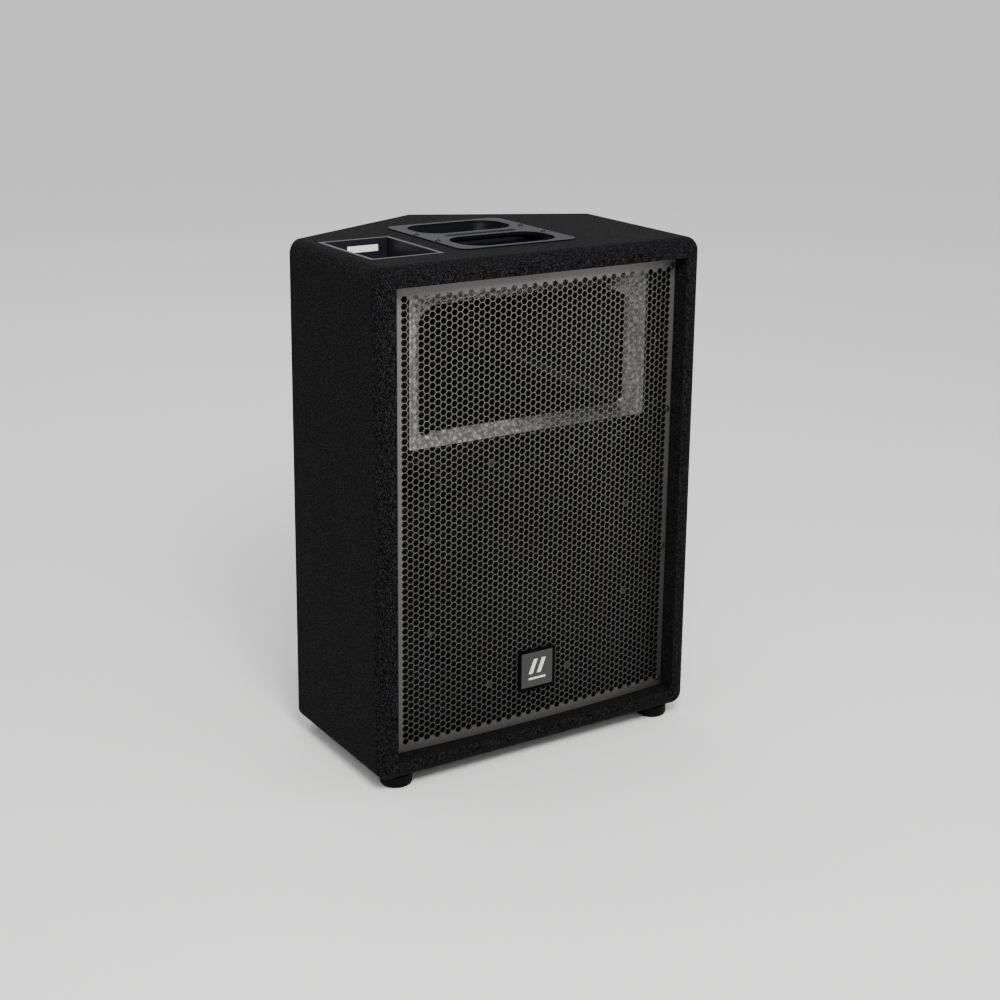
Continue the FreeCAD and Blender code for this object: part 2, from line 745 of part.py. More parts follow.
def make_woofer_frame():
    body = turned("basket", basket_outline())
    carve(body, basket_windows, -69, -5)
    carve(body, circles(woofer_bolts_at, dim.screw_radius + 0.4), 0, dim.woofer_flange)
    node(put_woofer(body), "woofer_basket")
    seat = dim.woofer_flange + 1
    node(put_woofer(turned("trim_ring", ring(131, 143.5, seat, seat + 4))), "woofer_gasket")
    seat = dim.woofer_flange + 0.05
    body = fasteners("woofer_fixings", woofer_bolts_at, 4, seat, seat + 3, dim.screw_radius, -16)
    node(put_woofer(body), "woofer_bolts")
    block = slab("terminal_block", rectangle(-102, -14, -88, 14), -73, -68)
    for row in (-8, 8):
        layer(block, rectangle(-95.4, row - 3.1, -94.6, row + 3.1), -84, -73)
    node(put_woofer(block), "woofer_terminals")


def make_motor():
    plate = ring(dim.gap_radius, 70, dim.top_plate_back, dim.top_plate_front)
    node(put_woofer(turned("front_pole", plate)), "woofer_top_plate")
    magnet = ring(45, dim.magnet_radius, dim.magnet_back, dim.top_plate_back)
    node(put_woofer(turned("ferrite", magnet)), "woofer_magnet")
    yoke = [
        (10, dim.back_plate_back), (74, dim.back_plate_back),
        (74, dim.magnet_back), (dim.pole_radius, dim.magnet_back),
        (dim.pole_radius, dim.top_plate_front), (10, dim.top_plate_front),
    ]
    node(put_woofer(turned("yoke", yoke)), "woofer_back_plate")


def strip(points, thickness):
    """Closes a line of (radius, height) points into a sheet of even height."""
    upper = [(radius, size_of(height) + thickness) for radius, height in points]
    return list(points) + upper[::-1]


def surround_line():
    """From the landing on the basket, over the half roll, down to the landing on the cone."""
    middle = 122
    roll = 8
    points = [(140, dim.woofer_flange), (middle + roll, dim.woofer_flange)]
    for step in range(1, 9):
        turn = math.pi * step / 8
        fall = -roll * max(0, step - 4) / 4
        points.append((middle + roll * math.cos(turn), dim.woofer_flange + roll * math.sin(turn) + fall))
    points.append((dim.cone_edge - 5, dim.woofer_flange - 9))
    return points


def spider_line():
    """From the ledge on the basket, over the corrugations, down to the coil former."""
    outer = 73.6
    inner = dim.coil_inside.value + 1.75
    steps = 48
    points = [(82.5, -61.9)]
    for step in range(steps + 1):
        along = step / steps
        wave = 0 if along < 0.1 or along > 0.9 else math.sin((along - 0.1) / 0.8 * 10 * math.pi)
        points.append((outer + (inner - outer) * along, -61.9 - 6 * along + 1.2 * wave))
    return points


def make_moving_parts():
    node(put_woofer(turned("surround", strip(surround_line(), 0.9))), "woofer_surround")
    node(put_woofer(turned("spider", strip(spider_line(), 0.7))), "woofer_spider")
    edge = dim.woofer_flange - 9 - 1.4
    neck = dim.cone_neck + 0.3
    cone = [
        (dim.cone_edge, edge), (dim.cone_edge - 5, edge), (84, -27), (58, -44), (neck, -58.5),
        (neck, -60), (58, -45.5), (84, -28.6), (dim.cone_edge - 4, edge - 1.5),
        (dim.cone_edge, edge - 1.3),
    ]
    node(put_woofer(turned("cone", cone)), "woofer_cone")
    node(put_woofer(turned("dome", dome_outline(42, -52.6, 14, 0.8))), "woofer_dust_cap")
    wall = 0.4
    inside = dim.coil_inside
    coil = [
        (inside, -101), (inside + 1.4, -101), (inside + 1.4, -67), (inside + wall, -67),
        (inside + wall, -56.5), (inside, -56.5),
    ]
    node(put_woofer(turned("coil", coil)), "voice_coil")


def dome_outline(rim, base, rise, thickness):
    """Half section of a shallow dome that rests on its rim."""
    steps = 10
    line = []
    for step in range(steps + 1):
        along = step / steps
        line.append((rim * (1 - along), base + rise * (1 - (1 - along) ** 2)))
    upper = [(radius, height + thickness) for radius, height in line]
    return line + upper[::-1]


# ---- horn and compression driver ----


def put_horn(body):
    return put(body, 0, dim.baffle_front, dim.horn_height, FRONT)


def centred(across, along, corner):
    return rounded(-size_of(across), -size_of(along), across, along, corner)


def make_horn():
    wall = dim.horn_wall
    throat = dim.throat_radius
    stations = [
        (dim.horn_rim, 154, 86, 14), (size_of(-8), 139, 74, 13), (size_of(-38), 101, 57, 12.6),
        (size_of(-80), 52, 33, 12.6), (dim.throat_back, throat, throat, throat - 0.2),
    ]
    outer = [(z, wall + x, wall + y, wall + corner) for z, x, y, corner in stations]
    outer[0] = (size_of(0.3),) + outer[0][1:]
    body = slab("horn_moulding", centred(dim.horn_flange_x, dim.horn_flange_y, 8), 0.3, dim.horn_flange)
    layer(body, centred(157, 89, 17), 0.3, dim.horn_rim)
    loft(body, outer, centred, "AdditiveLoft")
    mount = size_of(dim.throat_back)
    layer(body, circles([(0, 0)], dim.driver_radius), mount, mount + 6)
    loft(body, stations, centred, "SubtractiveLoft")
    carve(body, circles(horn_screws_at, dim.screw_radius + 0.3), 0, dim.horn_flange)
    carve(body, circles(ring_of(dim.driver_bolt_circle, 3, 90), 3.1), mount, mount + 6)
    node(put_horn(body), "horn")
    seat = dim.horn_flange + 0.05
    body = fasteners("horn_fixings", horn_screws_at, 3.5, seat, seat + 2.4, dim.screw_radius, -14)
    node(put_horn(body), "horn_screws")


def make_driver():
    face = dim.throat_back
    bore = dim.throat_radius
    bolts = ring_of(dim.driver_bolt_circle, 3, 90)
    plate = turned("throat_plate", [
        (bore, face - 34), (24.9, face - 34), (24.9, face - 10), (dim.driver_radius, face - 10),
        (dim.driver_radius, face), (bore, face),
    ])
    carve(plate, circles(bolts, 3.1), face - 10, face)
    node(put_horn(plate), "driver_front_plate")
    node(put_horn(turned("driver_ferrite", ring(28, 45, face - 26, face - 10))), "driver_magnet")
    yoke = ring(26.6, dim.driver_radius, face - 34, face - 26)
    node(put_horn(turned("driver_yoke", yoke)), "driver_back_plate")
    plug = [(0, face - 32), (9, face - 33), (11, face - 30), (4, face - 12), (0, face - 6)]
    node(put_horn(turned("plug", plug)), "driver_phase_plug")
    dome = [
        (25.4, face - 31), (26.1, face - 31), (26.1, face - 36.6), (21, face - 41), (13, face - 44.4),
        (0, face - 46), (0, face - 45.6), (13, face - 44), (21, face - 40.6), (25.4, face - 36.8),
    ]
    node(put_horn(turned("dome_and_coil", dome)), "driver_diaphragm")
    cover = [
        (dim.driver_radius, face - 34), (dim.driver_radius, face - 54), (44, face - 58), (0, face - 58),
        (0, face - 55), (43, face - 55), (45, face - 53), (45, face - 34),
    ]
    node(put_horn(turned("driver_cap", cover)), "driver_cover")
    body = fasteners("driver_fixings", bolts, 5, face + 6.05, face + 10, 3, face - 9.5)
    node(put_horn(body), "driver_bolts")


# ---- crossover ----


def put_crossover(body):
    return put(body, -room_half, 0, 0, SIDE)


def make_crossover():
    low_x = dim.board_front
    low_y = dim.board_bottom
    high_x = low_x + dim.board_long
    high_y = low_y + dim.board_high
    inset = dim.board_screw_inset
    corners = [(x, y) for x in (low_x + inset, high_x - inset) for y in (low_y + inset, high_y - inset)]
    stand = dim.board_stand
    face = stand + dim.board_sheet
    board = slab("board", rectangle(low_x, low_y, high_x, high_y), stand, face)
    carve(board, circles(corners, dim.screw_radius + 0.2), stand, face)
    node(put_crossover(board), "crossover_board")
    spacers = slab("spacers", circles(corners, 4), 0, stand)
    carve(spacers, circles(corners, dim.screw_radius + 0.2), 0, stand)
    node(put_crossover(spacers), "crossover_spacers")
    body = fasteners("board_fixings", corners, 3.2, face + 0.05, face + 2.2, dim.screw_radius, 0.1)
    node(put_crossover(body), "crossover_screws")
    coils = new_body("coils")
    for along, up, outer, inner, tall in ((40, 34, 23, 10, 20), (82, 66, 15, 7, 15)):
        middle = (low_x + along, low_y + up)
        layer(coils, circles([middle], outer), face, face + tall)
        carve(coils, circles([middle], inner), face, face + tall)
    node(put_crossover(coils), "crossover_inductors")
    drums = new_body("drums")
    for along in (24, 44, 64):
        middle = along + low_x
        layer(drums, circles([(middle, face + 7.5)], 7), -(low_y + 108), -(low_y + 78), "XZ_Plane")
    node(put_crossover(drums), "crossover_capacitors")
    blocks = new_body("blocks")
    for along in (75, 87):
        outline = rectangle(low_x + along, low_y + 82, low_x + along + 9, low_y + 108)
        layer(blocks, outline, face, face + 9)
    node(put_crossover(blocks), "crossover_resistors")


# ---- leads and flexible tails ----


def lead_wire(route):
    """Straight runs joined by tangent arcs, each as large as its two runs allow."""
    start = route[0]
    pieces = []
    for before, corner, after in zip(route, route[1:], route[2:]):
        back = before - corner
        ahead = after - corner
        half_turn = (math.pi - back.getAngle(ahead)) / 2
        reach = 0.45 * min(back.Length, ahead.Length)
        radius = reach / math.tan(half_turn)
        back.normalize()
        ahead.normalize()
        bisector = back + ahead
        bisector.normalize()
        middle = corner + bisector * (radius / math.cos(half_turn) - radius)
        enter = corner + back * reach
        leave = corner + ahead * reach
        pieces.append(Part.makeLine(start, enter))
        pieces.append(Part.Arc(enter, middle, leave).toShape())
        start = leave
    pieces.append(Part.makeLine(start, route[-1]))
    return Part.Wire(pieces)


def lead_tube(points, radius):
    """A lead of even thickness, whose volume must equal its section times its length."""
    route = [Vector(*[size_of(amount).value for amount in point]) for point in points]
    wire = lead_wire(route)
    ring_edge = Part.makeCircle(radius, route[0], route[1] - route[0])
    tube = wire.makePipeShell([Part.Wire([ring_edge])], True, True)
    expected = math.pi * radius * radius * wire.Length
    if abs(tube.Volume - expected) > 0.01 * expected:
        raise ValueError("a lead's tube has the wrong volume")
    return tube


def lead_node(label, routes, radius, x, y, z, turn):
    feature = doc.addObject("Part::Feature", label + "_tubes")
    feature.Shape = Part.makeCompound([lead_tube(points, radius.value) for points in routes])
    node(put(feature, x, y, z, turn), label)


def make_leads():
    blade_end = roof_panel - dim.dish_depth - dim.socket_length - 9
    board_face = -room_half + dim.board_stand + dim.board_sheet
    row = dim.board_bottom + dim.board_high - 5.5
    across = dim.socket_across
    inlet = [
        (across - 5, dim.socket_front - 5, blade_end), (across - 5, dim.socket_front - 5, 510),
        (across - 5, 84, 482), (-168, 108, 436),
        (-176, 147, 400), (-178, 153, 345), (-174, 147, 290), (-169, 115, 250), (-167, 98, row),
        (board_face, 98, row),
    ]
    link = [
        (across + 5, dim.socket_front + 5, blade_end), (across + 5, dim.socket_front + 5, 508),
        (across + 5, 96, 494), (across + 5, 118, 486), (across + 5, 140, 494),
        (across + 5, dim.socket_back - 5, 508), (across + 5, dim.socket_back - 5, blade_end),
    ]
    lead_node("socket_leads", [inlet, link], dim.lead_radius, 0, 0, 0, UPRIGHT)
    terminal = dim.woofer_height + 8
    woofer = [
        (-95, dim.baffle_front + 84, terminal), (-96, 150, terminal + 1), (-128, 172, 232),
        (-163, 173, 222), (-167, 140, row), (board_face, 140, row),
    ]
    lead_node("woofer_lead", [woofer], dim.lead_radius, 0, 0, 0, UPRIGHT)
    side_of_driver = -dim.driver_radius + 0.1
    horn = [
        (board_face, 118, row), (-166, 118, row + 1), (-160, 130, 250), (-152, 160, 305),
        (-150, 176, 368), (-130, 186, 425), (-98, 199, 467), (-75, 204, dim.horn_height),
        (side_of_driver, 204, dim.horn_height),
    ]
    lead_node("horn_lead", [horn], dim.lead_radius, 0, 0, 0, UPRIGHT)
    tails = [
        [(-57, side * 8, -46.2), (-65, side * 8, -54), (-83, side * 8, -51), (-91.5, side * 8, -61.3)]
        for side in (-1, 1)
    ]
    lead_node("tinsel_leads", tails, dim.tinsel_radius, 0, dim.baffle_front, dim.woofer_height, FRONT)


# ---- build, check and export ----


def write_parts():
    doc.recompute()
    for thing in doc.Objects:
        if "Invalid" in thing.State or "Error" in thing.State:
            raise ValueError(thing.Label + ": failed to build")
    os.makedirs("parts", exist_ok=True)
    for thing in nodes:
        shape = thing.Shape
        if shape.isNull() or not shape.isValid() or not shape.Solids:
            raise ValueError(thing.Label + ": bad shape")
        shape.exportStep("parts/" + thing.Label + ".step")


make_side_and_rear_panels()
make_end_panels()
make_carpet()
make_baffle()
make_battens()
make_ports()
make_grille()
make_badge()
make_handle()
make_dish()
make_dish_screws()
make_sockets()
make_label()
make_feet()
make_woofer_frame()
make_motor()
make_moving_parts()
make_horn()
make_driver()
make_crossover()
make_leads()
write_parts()
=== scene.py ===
import math

import bmesh
import bpy
from mathutils import Matrix, Vector


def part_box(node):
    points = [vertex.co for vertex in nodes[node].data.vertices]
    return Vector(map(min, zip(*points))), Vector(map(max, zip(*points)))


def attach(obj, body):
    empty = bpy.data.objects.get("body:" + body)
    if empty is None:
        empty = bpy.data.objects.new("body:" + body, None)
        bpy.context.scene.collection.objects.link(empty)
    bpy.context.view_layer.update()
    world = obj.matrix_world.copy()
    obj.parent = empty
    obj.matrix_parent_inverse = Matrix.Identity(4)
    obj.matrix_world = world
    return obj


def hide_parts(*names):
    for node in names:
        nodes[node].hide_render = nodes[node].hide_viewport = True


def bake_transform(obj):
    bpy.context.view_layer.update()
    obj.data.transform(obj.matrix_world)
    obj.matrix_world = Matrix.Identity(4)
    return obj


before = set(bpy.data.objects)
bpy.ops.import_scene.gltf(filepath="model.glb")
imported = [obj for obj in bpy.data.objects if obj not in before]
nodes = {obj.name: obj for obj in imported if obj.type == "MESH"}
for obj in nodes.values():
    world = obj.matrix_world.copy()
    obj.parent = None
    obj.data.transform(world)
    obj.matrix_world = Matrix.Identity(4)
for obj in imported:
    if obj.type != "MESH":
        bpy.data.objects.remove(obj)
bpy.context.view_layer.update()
print("frame loaded:", len(nodes), "nodes")

# the camera stands left of the grille and a little above it
view = {
    "place": (-1.0853, -1.7596, 0.9453),
    "forward": (0.5205, 0.8155, -0.2530),
    "up": (0.1271, 0.2190, 0.9674),
    "lens": 62.96,
    "sensor": 36.0,
    "shiftY": -0.1,
}


def makeCamera():
    data = bpy.data.cameras.new("camera")
    data.lens = view["lens"]
    data.sensor_width = view["sensor"]
    data.shift_y = view["shiftY"]
    data.clip_end = 50
    camera = bpy.data.objects.new("camera", data)
    bpy.context.scene.collection.objects.link(camera)
    back = -Vector(view["forward"]).normalized()
    right = Vector(view["up"]).cross(back).normalized()
    up = back.cross(right)
    turn = Matrix((right, up, back)).transposed().to_4x4()
    camera.matrix_world = Matrix.Translation(view["place"]) @ turn
    bpy.context.scene.camera = camera


makeCamera()


# a wrapped socket, so that shader and geometry maths can be written as plain sums
class Wire:
    def __init__(self, tree, socket):
        self.tree = tree
        self.socket = socket

    def maths(self, operation, *values):
        return node(self.tree, "ShaderNodeMath", {"operation": operation}, list(values))

    def __add__(self, other):
        return self.maths("ADD", self, other)

    def __radd__(self, other):
        return self.maths("ADD", other, self)

    def __sub__(self, other):
        return self.maths("SUBTRACT", self, other)

    def __rsub__(self, other):
        return self.maths("SUBTRACT", other, self)

    def __mul__(self, other):
        return self.maths("MULTIPLY", self, other)

    def __rmul__(self, other):
        return self.maths("MULTIPLY", other, self)

    def __truediv__(self, other):
        return self.maths("DIVIDE", self, other)

    def __gt__(self, other):
        return self.maths("GREATER_THAN", self, other)


def setSocket(tree, socket, value):
    if isinstance(value, Wire):
        tree.links.new(value.socket, socket)
    elif isinstance(value, list):  # several links into one socket, as Join Geometry takes
        for wire in value:
            tree.links.new(wire.socket, socket)
    elif value is not None:
        socket.default_value = value


def setStops(ramp, stops):
    while len(ramp.elements) < len(stops):
        ramp.elements.new(0.5)
    for element, (place, tone) in zip(ramp.elements, stops):
        element.position = place
        element.color = (*tone, 1)


# makes any node: its settings first, then the values or links of its sockets
def node(tree, kind, settings=None, values=None, output=0):
    made = tree.nodes.new(kind)
    for name, value in (settings or {}).items():
        if name == "stops":
            setStops(made.color_ramp, value)
        else:
            setattr(made, name, value)
    items = values.items() if isinstance(values, dict) else enumerate(values or [])
    for key, value in items:
        setSocket(tree, made.inputs[key], value)
    return Wire(tree, made.outputs[output])


def noiseAt(tree, place, scale, detail=2.0, roughness=0.5):
    values = {"Vector": place, "Scale": scale, "Detail": detail, "Roughness": roughness}
    return node(tree, "ShaderNodeTexNoise", None, values, "Fac")


def cellsAt(tree, place, scale):
    return node(tree, "ShaderNodeTexVoronoi", None, {"Vector": place, "Scale": scale}, "Distance")


def wavesAt(tree, place, scale, direction):
    values = {"Vector": place, "Scale": scale}
    return node(tree, "ShaderNodeTexWave", {"bands_direction": direction}, values, "Fac")


def axisOf(tree, vector, axis):
    return node(tree, "ShaderNodeSeparateXYZ", None, [vector], axis)


def stretched(tree, place, scale):
    return node(tree, "ShaderNodeMapping", None, {"Vector": place, "Scale": scale}, "Vector")


def rampOf(tree, factor, *stops):
    return node(tree, "ShaderNodeValToRGB", {"stops": stops}, {"Fac": factor}, "Color")


def remap(tree, factor, low, high):
    values = {"Value": factor, "To Min": low, "To Max": high}
    return node(tree, "ShaderNodeMapRange", None, values, "Result")


# rises from nought at the start to one at the end
def between(tree, value, start, end):
    values = {"Value": value, "From Min": start, "From Max": end}
    return node(tree, "ShaderNodeMapRange", None, values, "Result")


def blendTone(tree, factor, first, second):
    return node(tree, "ShaderNodeMix", {"data_type": "RGBA"}, {0: factor, 6: first, 7: second}, 2)


def bumpOf(tree, height, strength, distance, under=None):
    values = {"Height": height, "Strength": strength, "Distance": distance, "Normal": under}
    return node(tree, "ShaderNodeBump", None, values, "Normal")


def newFinish(name, paint, constants=None):
    material = bpy.data.materials.new(name)
    material.use_nodes = True
    tree = material.node_tree
    shader = tree.nodes["Principled BSDF"]
    for socket, value in (constants or {}).items():
        shader.inputs[socket].default_value = value
    place = node(tree, "ShaderNodeTexCoord", None, None, "Object")
    for socket, value in paint(tree, place).items():
        setSocket(tree, shader.inputs[socket], value)
    return material


carpet = {
    "pile": 840.0,        # fibre tufts per metre
    "lumps": 170.0,       # uneven felt per metre
    "dark": (0.0001, 0.0001, 0.0002),
    "mid": (0.0026, 0.0026, 0.0029),
    "light": (0.025, 0.025, 0.0275),
    "tuftHeight": 0.0005,
}


def paintCarpet(tree, place):
    tufts = noiseAt(tree, place, carpet["pile"], 4.0, 0.7)
    strands = noiseAt(tree, stretched(tree, place, (1.0, 1.0, 0.35)), carpet["pile"] * 1.3, 2.0, 0.6)
    lumps = noiseAt(tree, place, carpet["lumps"], 3.0, 0.55)
    pile = tufts * 0.6 + strands * 0.4
    shade = pile * 0.95 + lumps * 0.05
    tone = rampOf(tree, shade, (0.42, carpet["dark"]), (0.5, carpet["mid"]), (0.61, carpet["light"]))
    felt = bumpOf(tree, lumps, 0.2, 0.0008)
    normal = bumpOf(tree, pile, 0.55, carpet["tuftHeight"], felt)
    return {"Base Color": tone, "Roughness": remap(tree, tufts, 0.85, 1.0), "Normal": normal}


def paintPlastic(dark, light, grain, rough, depth=0.00003):
    def paint(tree, place):
        fine = noiseAt(tree, place, grain, 2.0, 0.6)
        broad = noiseAt(tree, place, 18.0, 3.0, 0.5)
        tone = blendTone(tree, broad * 0.7 + fine * 0.3, (*dark, 1), (*light, 1))
        gloss = remap(tree, broad * 0.5 + fine * 0.5, rough[0], rough[1])
        return {"Base Color": tone, "Roughness": gloss, "Normal": bumpOf(tree, fine, 0.4, depth)}
    return paint


# painted or plated metal: orange peel, faint scuffs and small chips of tone
def paintMetal(dark, light, peel, rough, scuffed=0.15):
    def paint(tree, place):
        skin = noiseAt(tree, place, peel, 2.0, 0.5)
        broad = noiseAt(tree, place, 9.0, 3.0, 0.55)
        scuffs = noiseAt(tree, stretched(tree, place, (1.0, 1.0, 14.0)), 60.0, 4.0, 0.65)
        tone = blendTone(tree, broad * (1 - scuffed) + scuffs * scuffed, (*dark, 1), (*light, 1))
        gloss = remap(tree, scuffs * 0.6 + skin * 0.4, rough[0], rough[1])
        return {"Base Color": tone, "Roughness": gloss, "Normal": bumpOf(tree, skin, 0.25, 0.00004)}
    return paint


# the grille's coat, with painted shade in its colour: lightest at the top, and painted darker towards its
# foot and its right edge, where less light falls
coat = {
    "dark": (0.086, 0.084, 0.081, 1),
    "light": (0.124, 0.121, 0.117, 1),
    "foot": (0.08, 0.54),       # heights between which the tone rises
    "footShadeTone": 0.36,
    "edge": (0.196, 0.10),      # distances to the right between which it falls
    "edgeShadeTone": 0.55,
}


def paintCoatWithShade(tree, place):
    across, up = (axisOf(tree, place, axis) for axis in "XZ")
    skin = noiseAt(tree, place, 2200.0, 2.0, 0.5)
    broad = noiseAt(tree, place, 9.0, 3.0, 0.55)
    # painted shade: the coat's colour is darkened towards the foot and towards the right edge
    paintedShadeByHeight = remap(tree, between(tree, up, *coat["foot"]), coat["footShadeTone"], 1.0)
    paintedShadeByEdge = remap(tree, between(tree, across, *coat["edge"]), coat["edgeShadeTone"], 1.0)
    tone = blendTone(tree, broad, coat["dark"], coat["light"])
    tone = blendTone(tree, paintedShadeByHeight * paintedShadeByEdge, (0.0, 0.0, 0.0, 1), tone)
    return {"Base Color": tone, "Roughness": remap(tree, skin * 0.5 + broad * 0.5, 0.34, 0.48),
            "Normal": bumpOf(tree, skin, 0.25, 0.00004)}


# birch inside the box, and black where the panels stand in front of the baffle
ply = {
    "birch": ((0.3, (0.36, 0.22, 0.11)), (0.55, (0.55, 0.38, 0.22)), (0.75, (0.68, 0.51, 0.33))),
    "glueLine": (0.22, 0.12, 0.06, 1),
    "paint": (0.0010, 0.0010, 0.0012, 1),
    "paintEdge": 0.0005,
}


def paintPly(tree, place):
    grain = noiseAt(tree, stretched(tree, place, (4.0, 4.0, 0.35)), 60.0, 5.0, 0.6)
    layers = node(tree, "ShaderNodeTexWave", {"wave_type": "BANDS", "bands_direction": "DIAGONAL"},
                  {"Vector": place, "Scale": 60.0, "Distortion": 1.5, "Detail": 2.0}, "Fac")
    tone = rampOf(tree, grain, *ply["birch"])
    edge = blendTone(tree, layers * 0.25, tone, ply["glueLine"])
    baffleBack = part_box("baffle")[1].y
    depth = axisOf(tree, place, "Y")
    painted = between(tree, depth, baffleBack + ply["paintEdge"], baffleBack - ply["paintEdge"])
    edge = blendTone(tree, painted, edge, ply["paint"])
    return {"Base Color": edge, "Roughness": remap(tree, grain, 0.55, 0.8),
            "Normal": bumpOf(tree, grain, 0.3, 0.0003)}


def paintBlackPly(tree, place):
    grain = noiseAt(tree, stretched(tree, place, (5.0, 5.0, 0.4)), 70.0, 4.0, 0.6)
    tone = rampOf(tree, grain, (0.3, (0.0004, 0.0004, 0.0005)), (0.7, (0.0012, 0.0012, 0.0014)))
    return {"Base Color": tone, "Roughness": remap(tree, grain, 0.6, 0.85),
            "Normal": bumpOf(tree, grain, 0.4, 0.0002)}


def paintPaper(dark, light):
    def paint(tree, place):
        pulp = noiseAt(tree, place, 500.0, 5.0, 0.7)
        blotch = noiseAt(tree, place, 40.0, 3.0, 0.5)
        tone = blendTone(tree, pulp * 0.6 + blotch * 0.4, (*dark, 1), (*light, 1))
        return {"Base Color": tone, "Roughness": remap(tree, pulp, 0.6, 0.9),
                "Normal": bumpOf(tree, pulp, 0.5, 0.0003)}
    return paint


# the lip round the mouth is polished, and its colour carries a painted highlight with painted glints: the
# lip is narrower at its left and deeper at its top
horn = {
    "middle": 0.485,
    "lipAcross": 0.1620,
    "lipUp": 0.0895,
    "lipBack": -0.1150,
    "leftFrom": (-0.125, -0.145),
    "leftShift": -0.0060,
    "topFrom": (0.056, 0.064),
    "topShift": 0.0110,
    "soft": 0.0008,
    "flare": (0.0012, 0.0012, 0.0015, 1),
    "lip": ((0.0, (0.50, 0.49, 0.48)), (0.38, (0.42, 0.41, 0.40)), (0.62, (0.09, 0.09, 0.09)),
            (0.88, (0.06, 0.06, 0.06)), (0.94, (0.23, 0.226, 0.222))),
    "paintedGlints": 170.0,            # patches of sheen per metre
    "paintedGlintReach": (0.60, 0.10),
    "paintedGlintDepth": (0.20, 0.80),
}


def paintHornWithHighlight(tree, place):
    across, depth, height = (axisOf(tree, place, axis) for axis in "XYZ")
    fine = noiseAt(tree, place, 900.0, 2.0, 0.5)
    up = height - horn["middle"]
    leftSide = between(tree, across, *horn["leftFrom"])
    topSide = between(tree, up, *horn["topFrom"])
    back = leftSide * horn["leftShift"] + topSide * horn["topShift"] + horn["lipBack"]
    front = between(tree, depth - back, horn["soft"], -horn["soft"])
    inside = horn["lipAcross"] - across.maths("ABSOLUTE", across) > 0
    lip = front * inside * (horn["lipUp"] - up.maths("ABSOLUTE", up) > 0)
    # painted highlight: the lip's colour is a painted reflection. It is bright at the left, dark in the
    # middle and lighter at the right, and broken into painted glints
    tone = rampOf(tree, between(tree, across, -horn["lipAcross"], horn["lipAcross"]), *horn["lip"])
    paintedGlint = between(tree, cellsAt(tree, place, horn["paintedGlints"]), *horn["paintedGlintReach"])
    paintedGlint = remap(tree, paintedGlint, *horn["paintedGlintDepth"])
    tone = blendTone(tree, paintedGlint, horn["flare"], tone)
    return {"Base Color": blendTone(tree, lip, horn["flare"], tone),
            "Roughness": remap(tree, lip, 0.5, 0.2) + fine * 0.06, "Coat Weight": lip,
            "Normal": bumpOf(tree, fine, 0.2, 0.00002)}


def paintCloth(dark, light, threads):
    def paint(tree, place):
        weft = wavesAt(tree, place, threads, "X")
        warp = wavesAt(tree, place, threads, "Z")
        fuzz = noiseAt(tree, place, 900.0, 3.0, 0.6)
        weave = weft * 0.4 + warp * 0.4 + fuzz * 0.2
        tone = blendTone(tree, weave, (*dark, 1), (*light, 1))
        return {"Base Color": tone, "Roughness": remap(tree, fuzz, 0.7, 0.95),
                "Normal": bumpOf(tree, weave, 0.5, 0.0002)}
    return paint


def paintCoil(tree, place):
    turns = wavesAt(tree, place, 300.0, "X")
    stain = noiseAt(tree, place, 80.0, 3.0, 0.6)
    tone = blendTone(tree, stain, (0.42, 0.15, 0.06, 1), (0.66, 0.30, 0.14, 1))
    return {"Base Color": tone, "Roughness": remap(tree, stain, 0.25, 0.45),
            "Normal": bumpOf(tree, turns, 0.6, 0.0004)}


def paintBoard(tree, place):
    fibre = cellsAt(tree, place, 260.0)
    patch = noiseAt(tree, place, 70.0, 2.0, 0.5)
    tracks = rampOf(tree, patch, (0.48, (0.02, 0.10, 0.04)), (0.54, (0.05, 0.20, 0.08)))
    return {"Base Color": tracks, "Roughness": remap(tree, fibre, 0.35, 0.55),
            "Normal": bumpOf(tree, patch, 0.3, 0.0002)}


def paintPrinted(tree, place):
    pulp = noiseAt(tree, place, 1200.0, 3.0, 0.6)
    dirt = noiseAt(tree, place, 90.0, 3.0, 0.5)
    tone = blendTone(tree, dirt, (0.78, 0.78, 0.76, 1), (0.90, 0.90, 0.89, 1))
    return {"Base Color": tone, "Roughness": remap(tree, pulp, 0.45, 0.6),
            "Normal": bumpOf(tree, pulp, 0.2, 0.00005)}


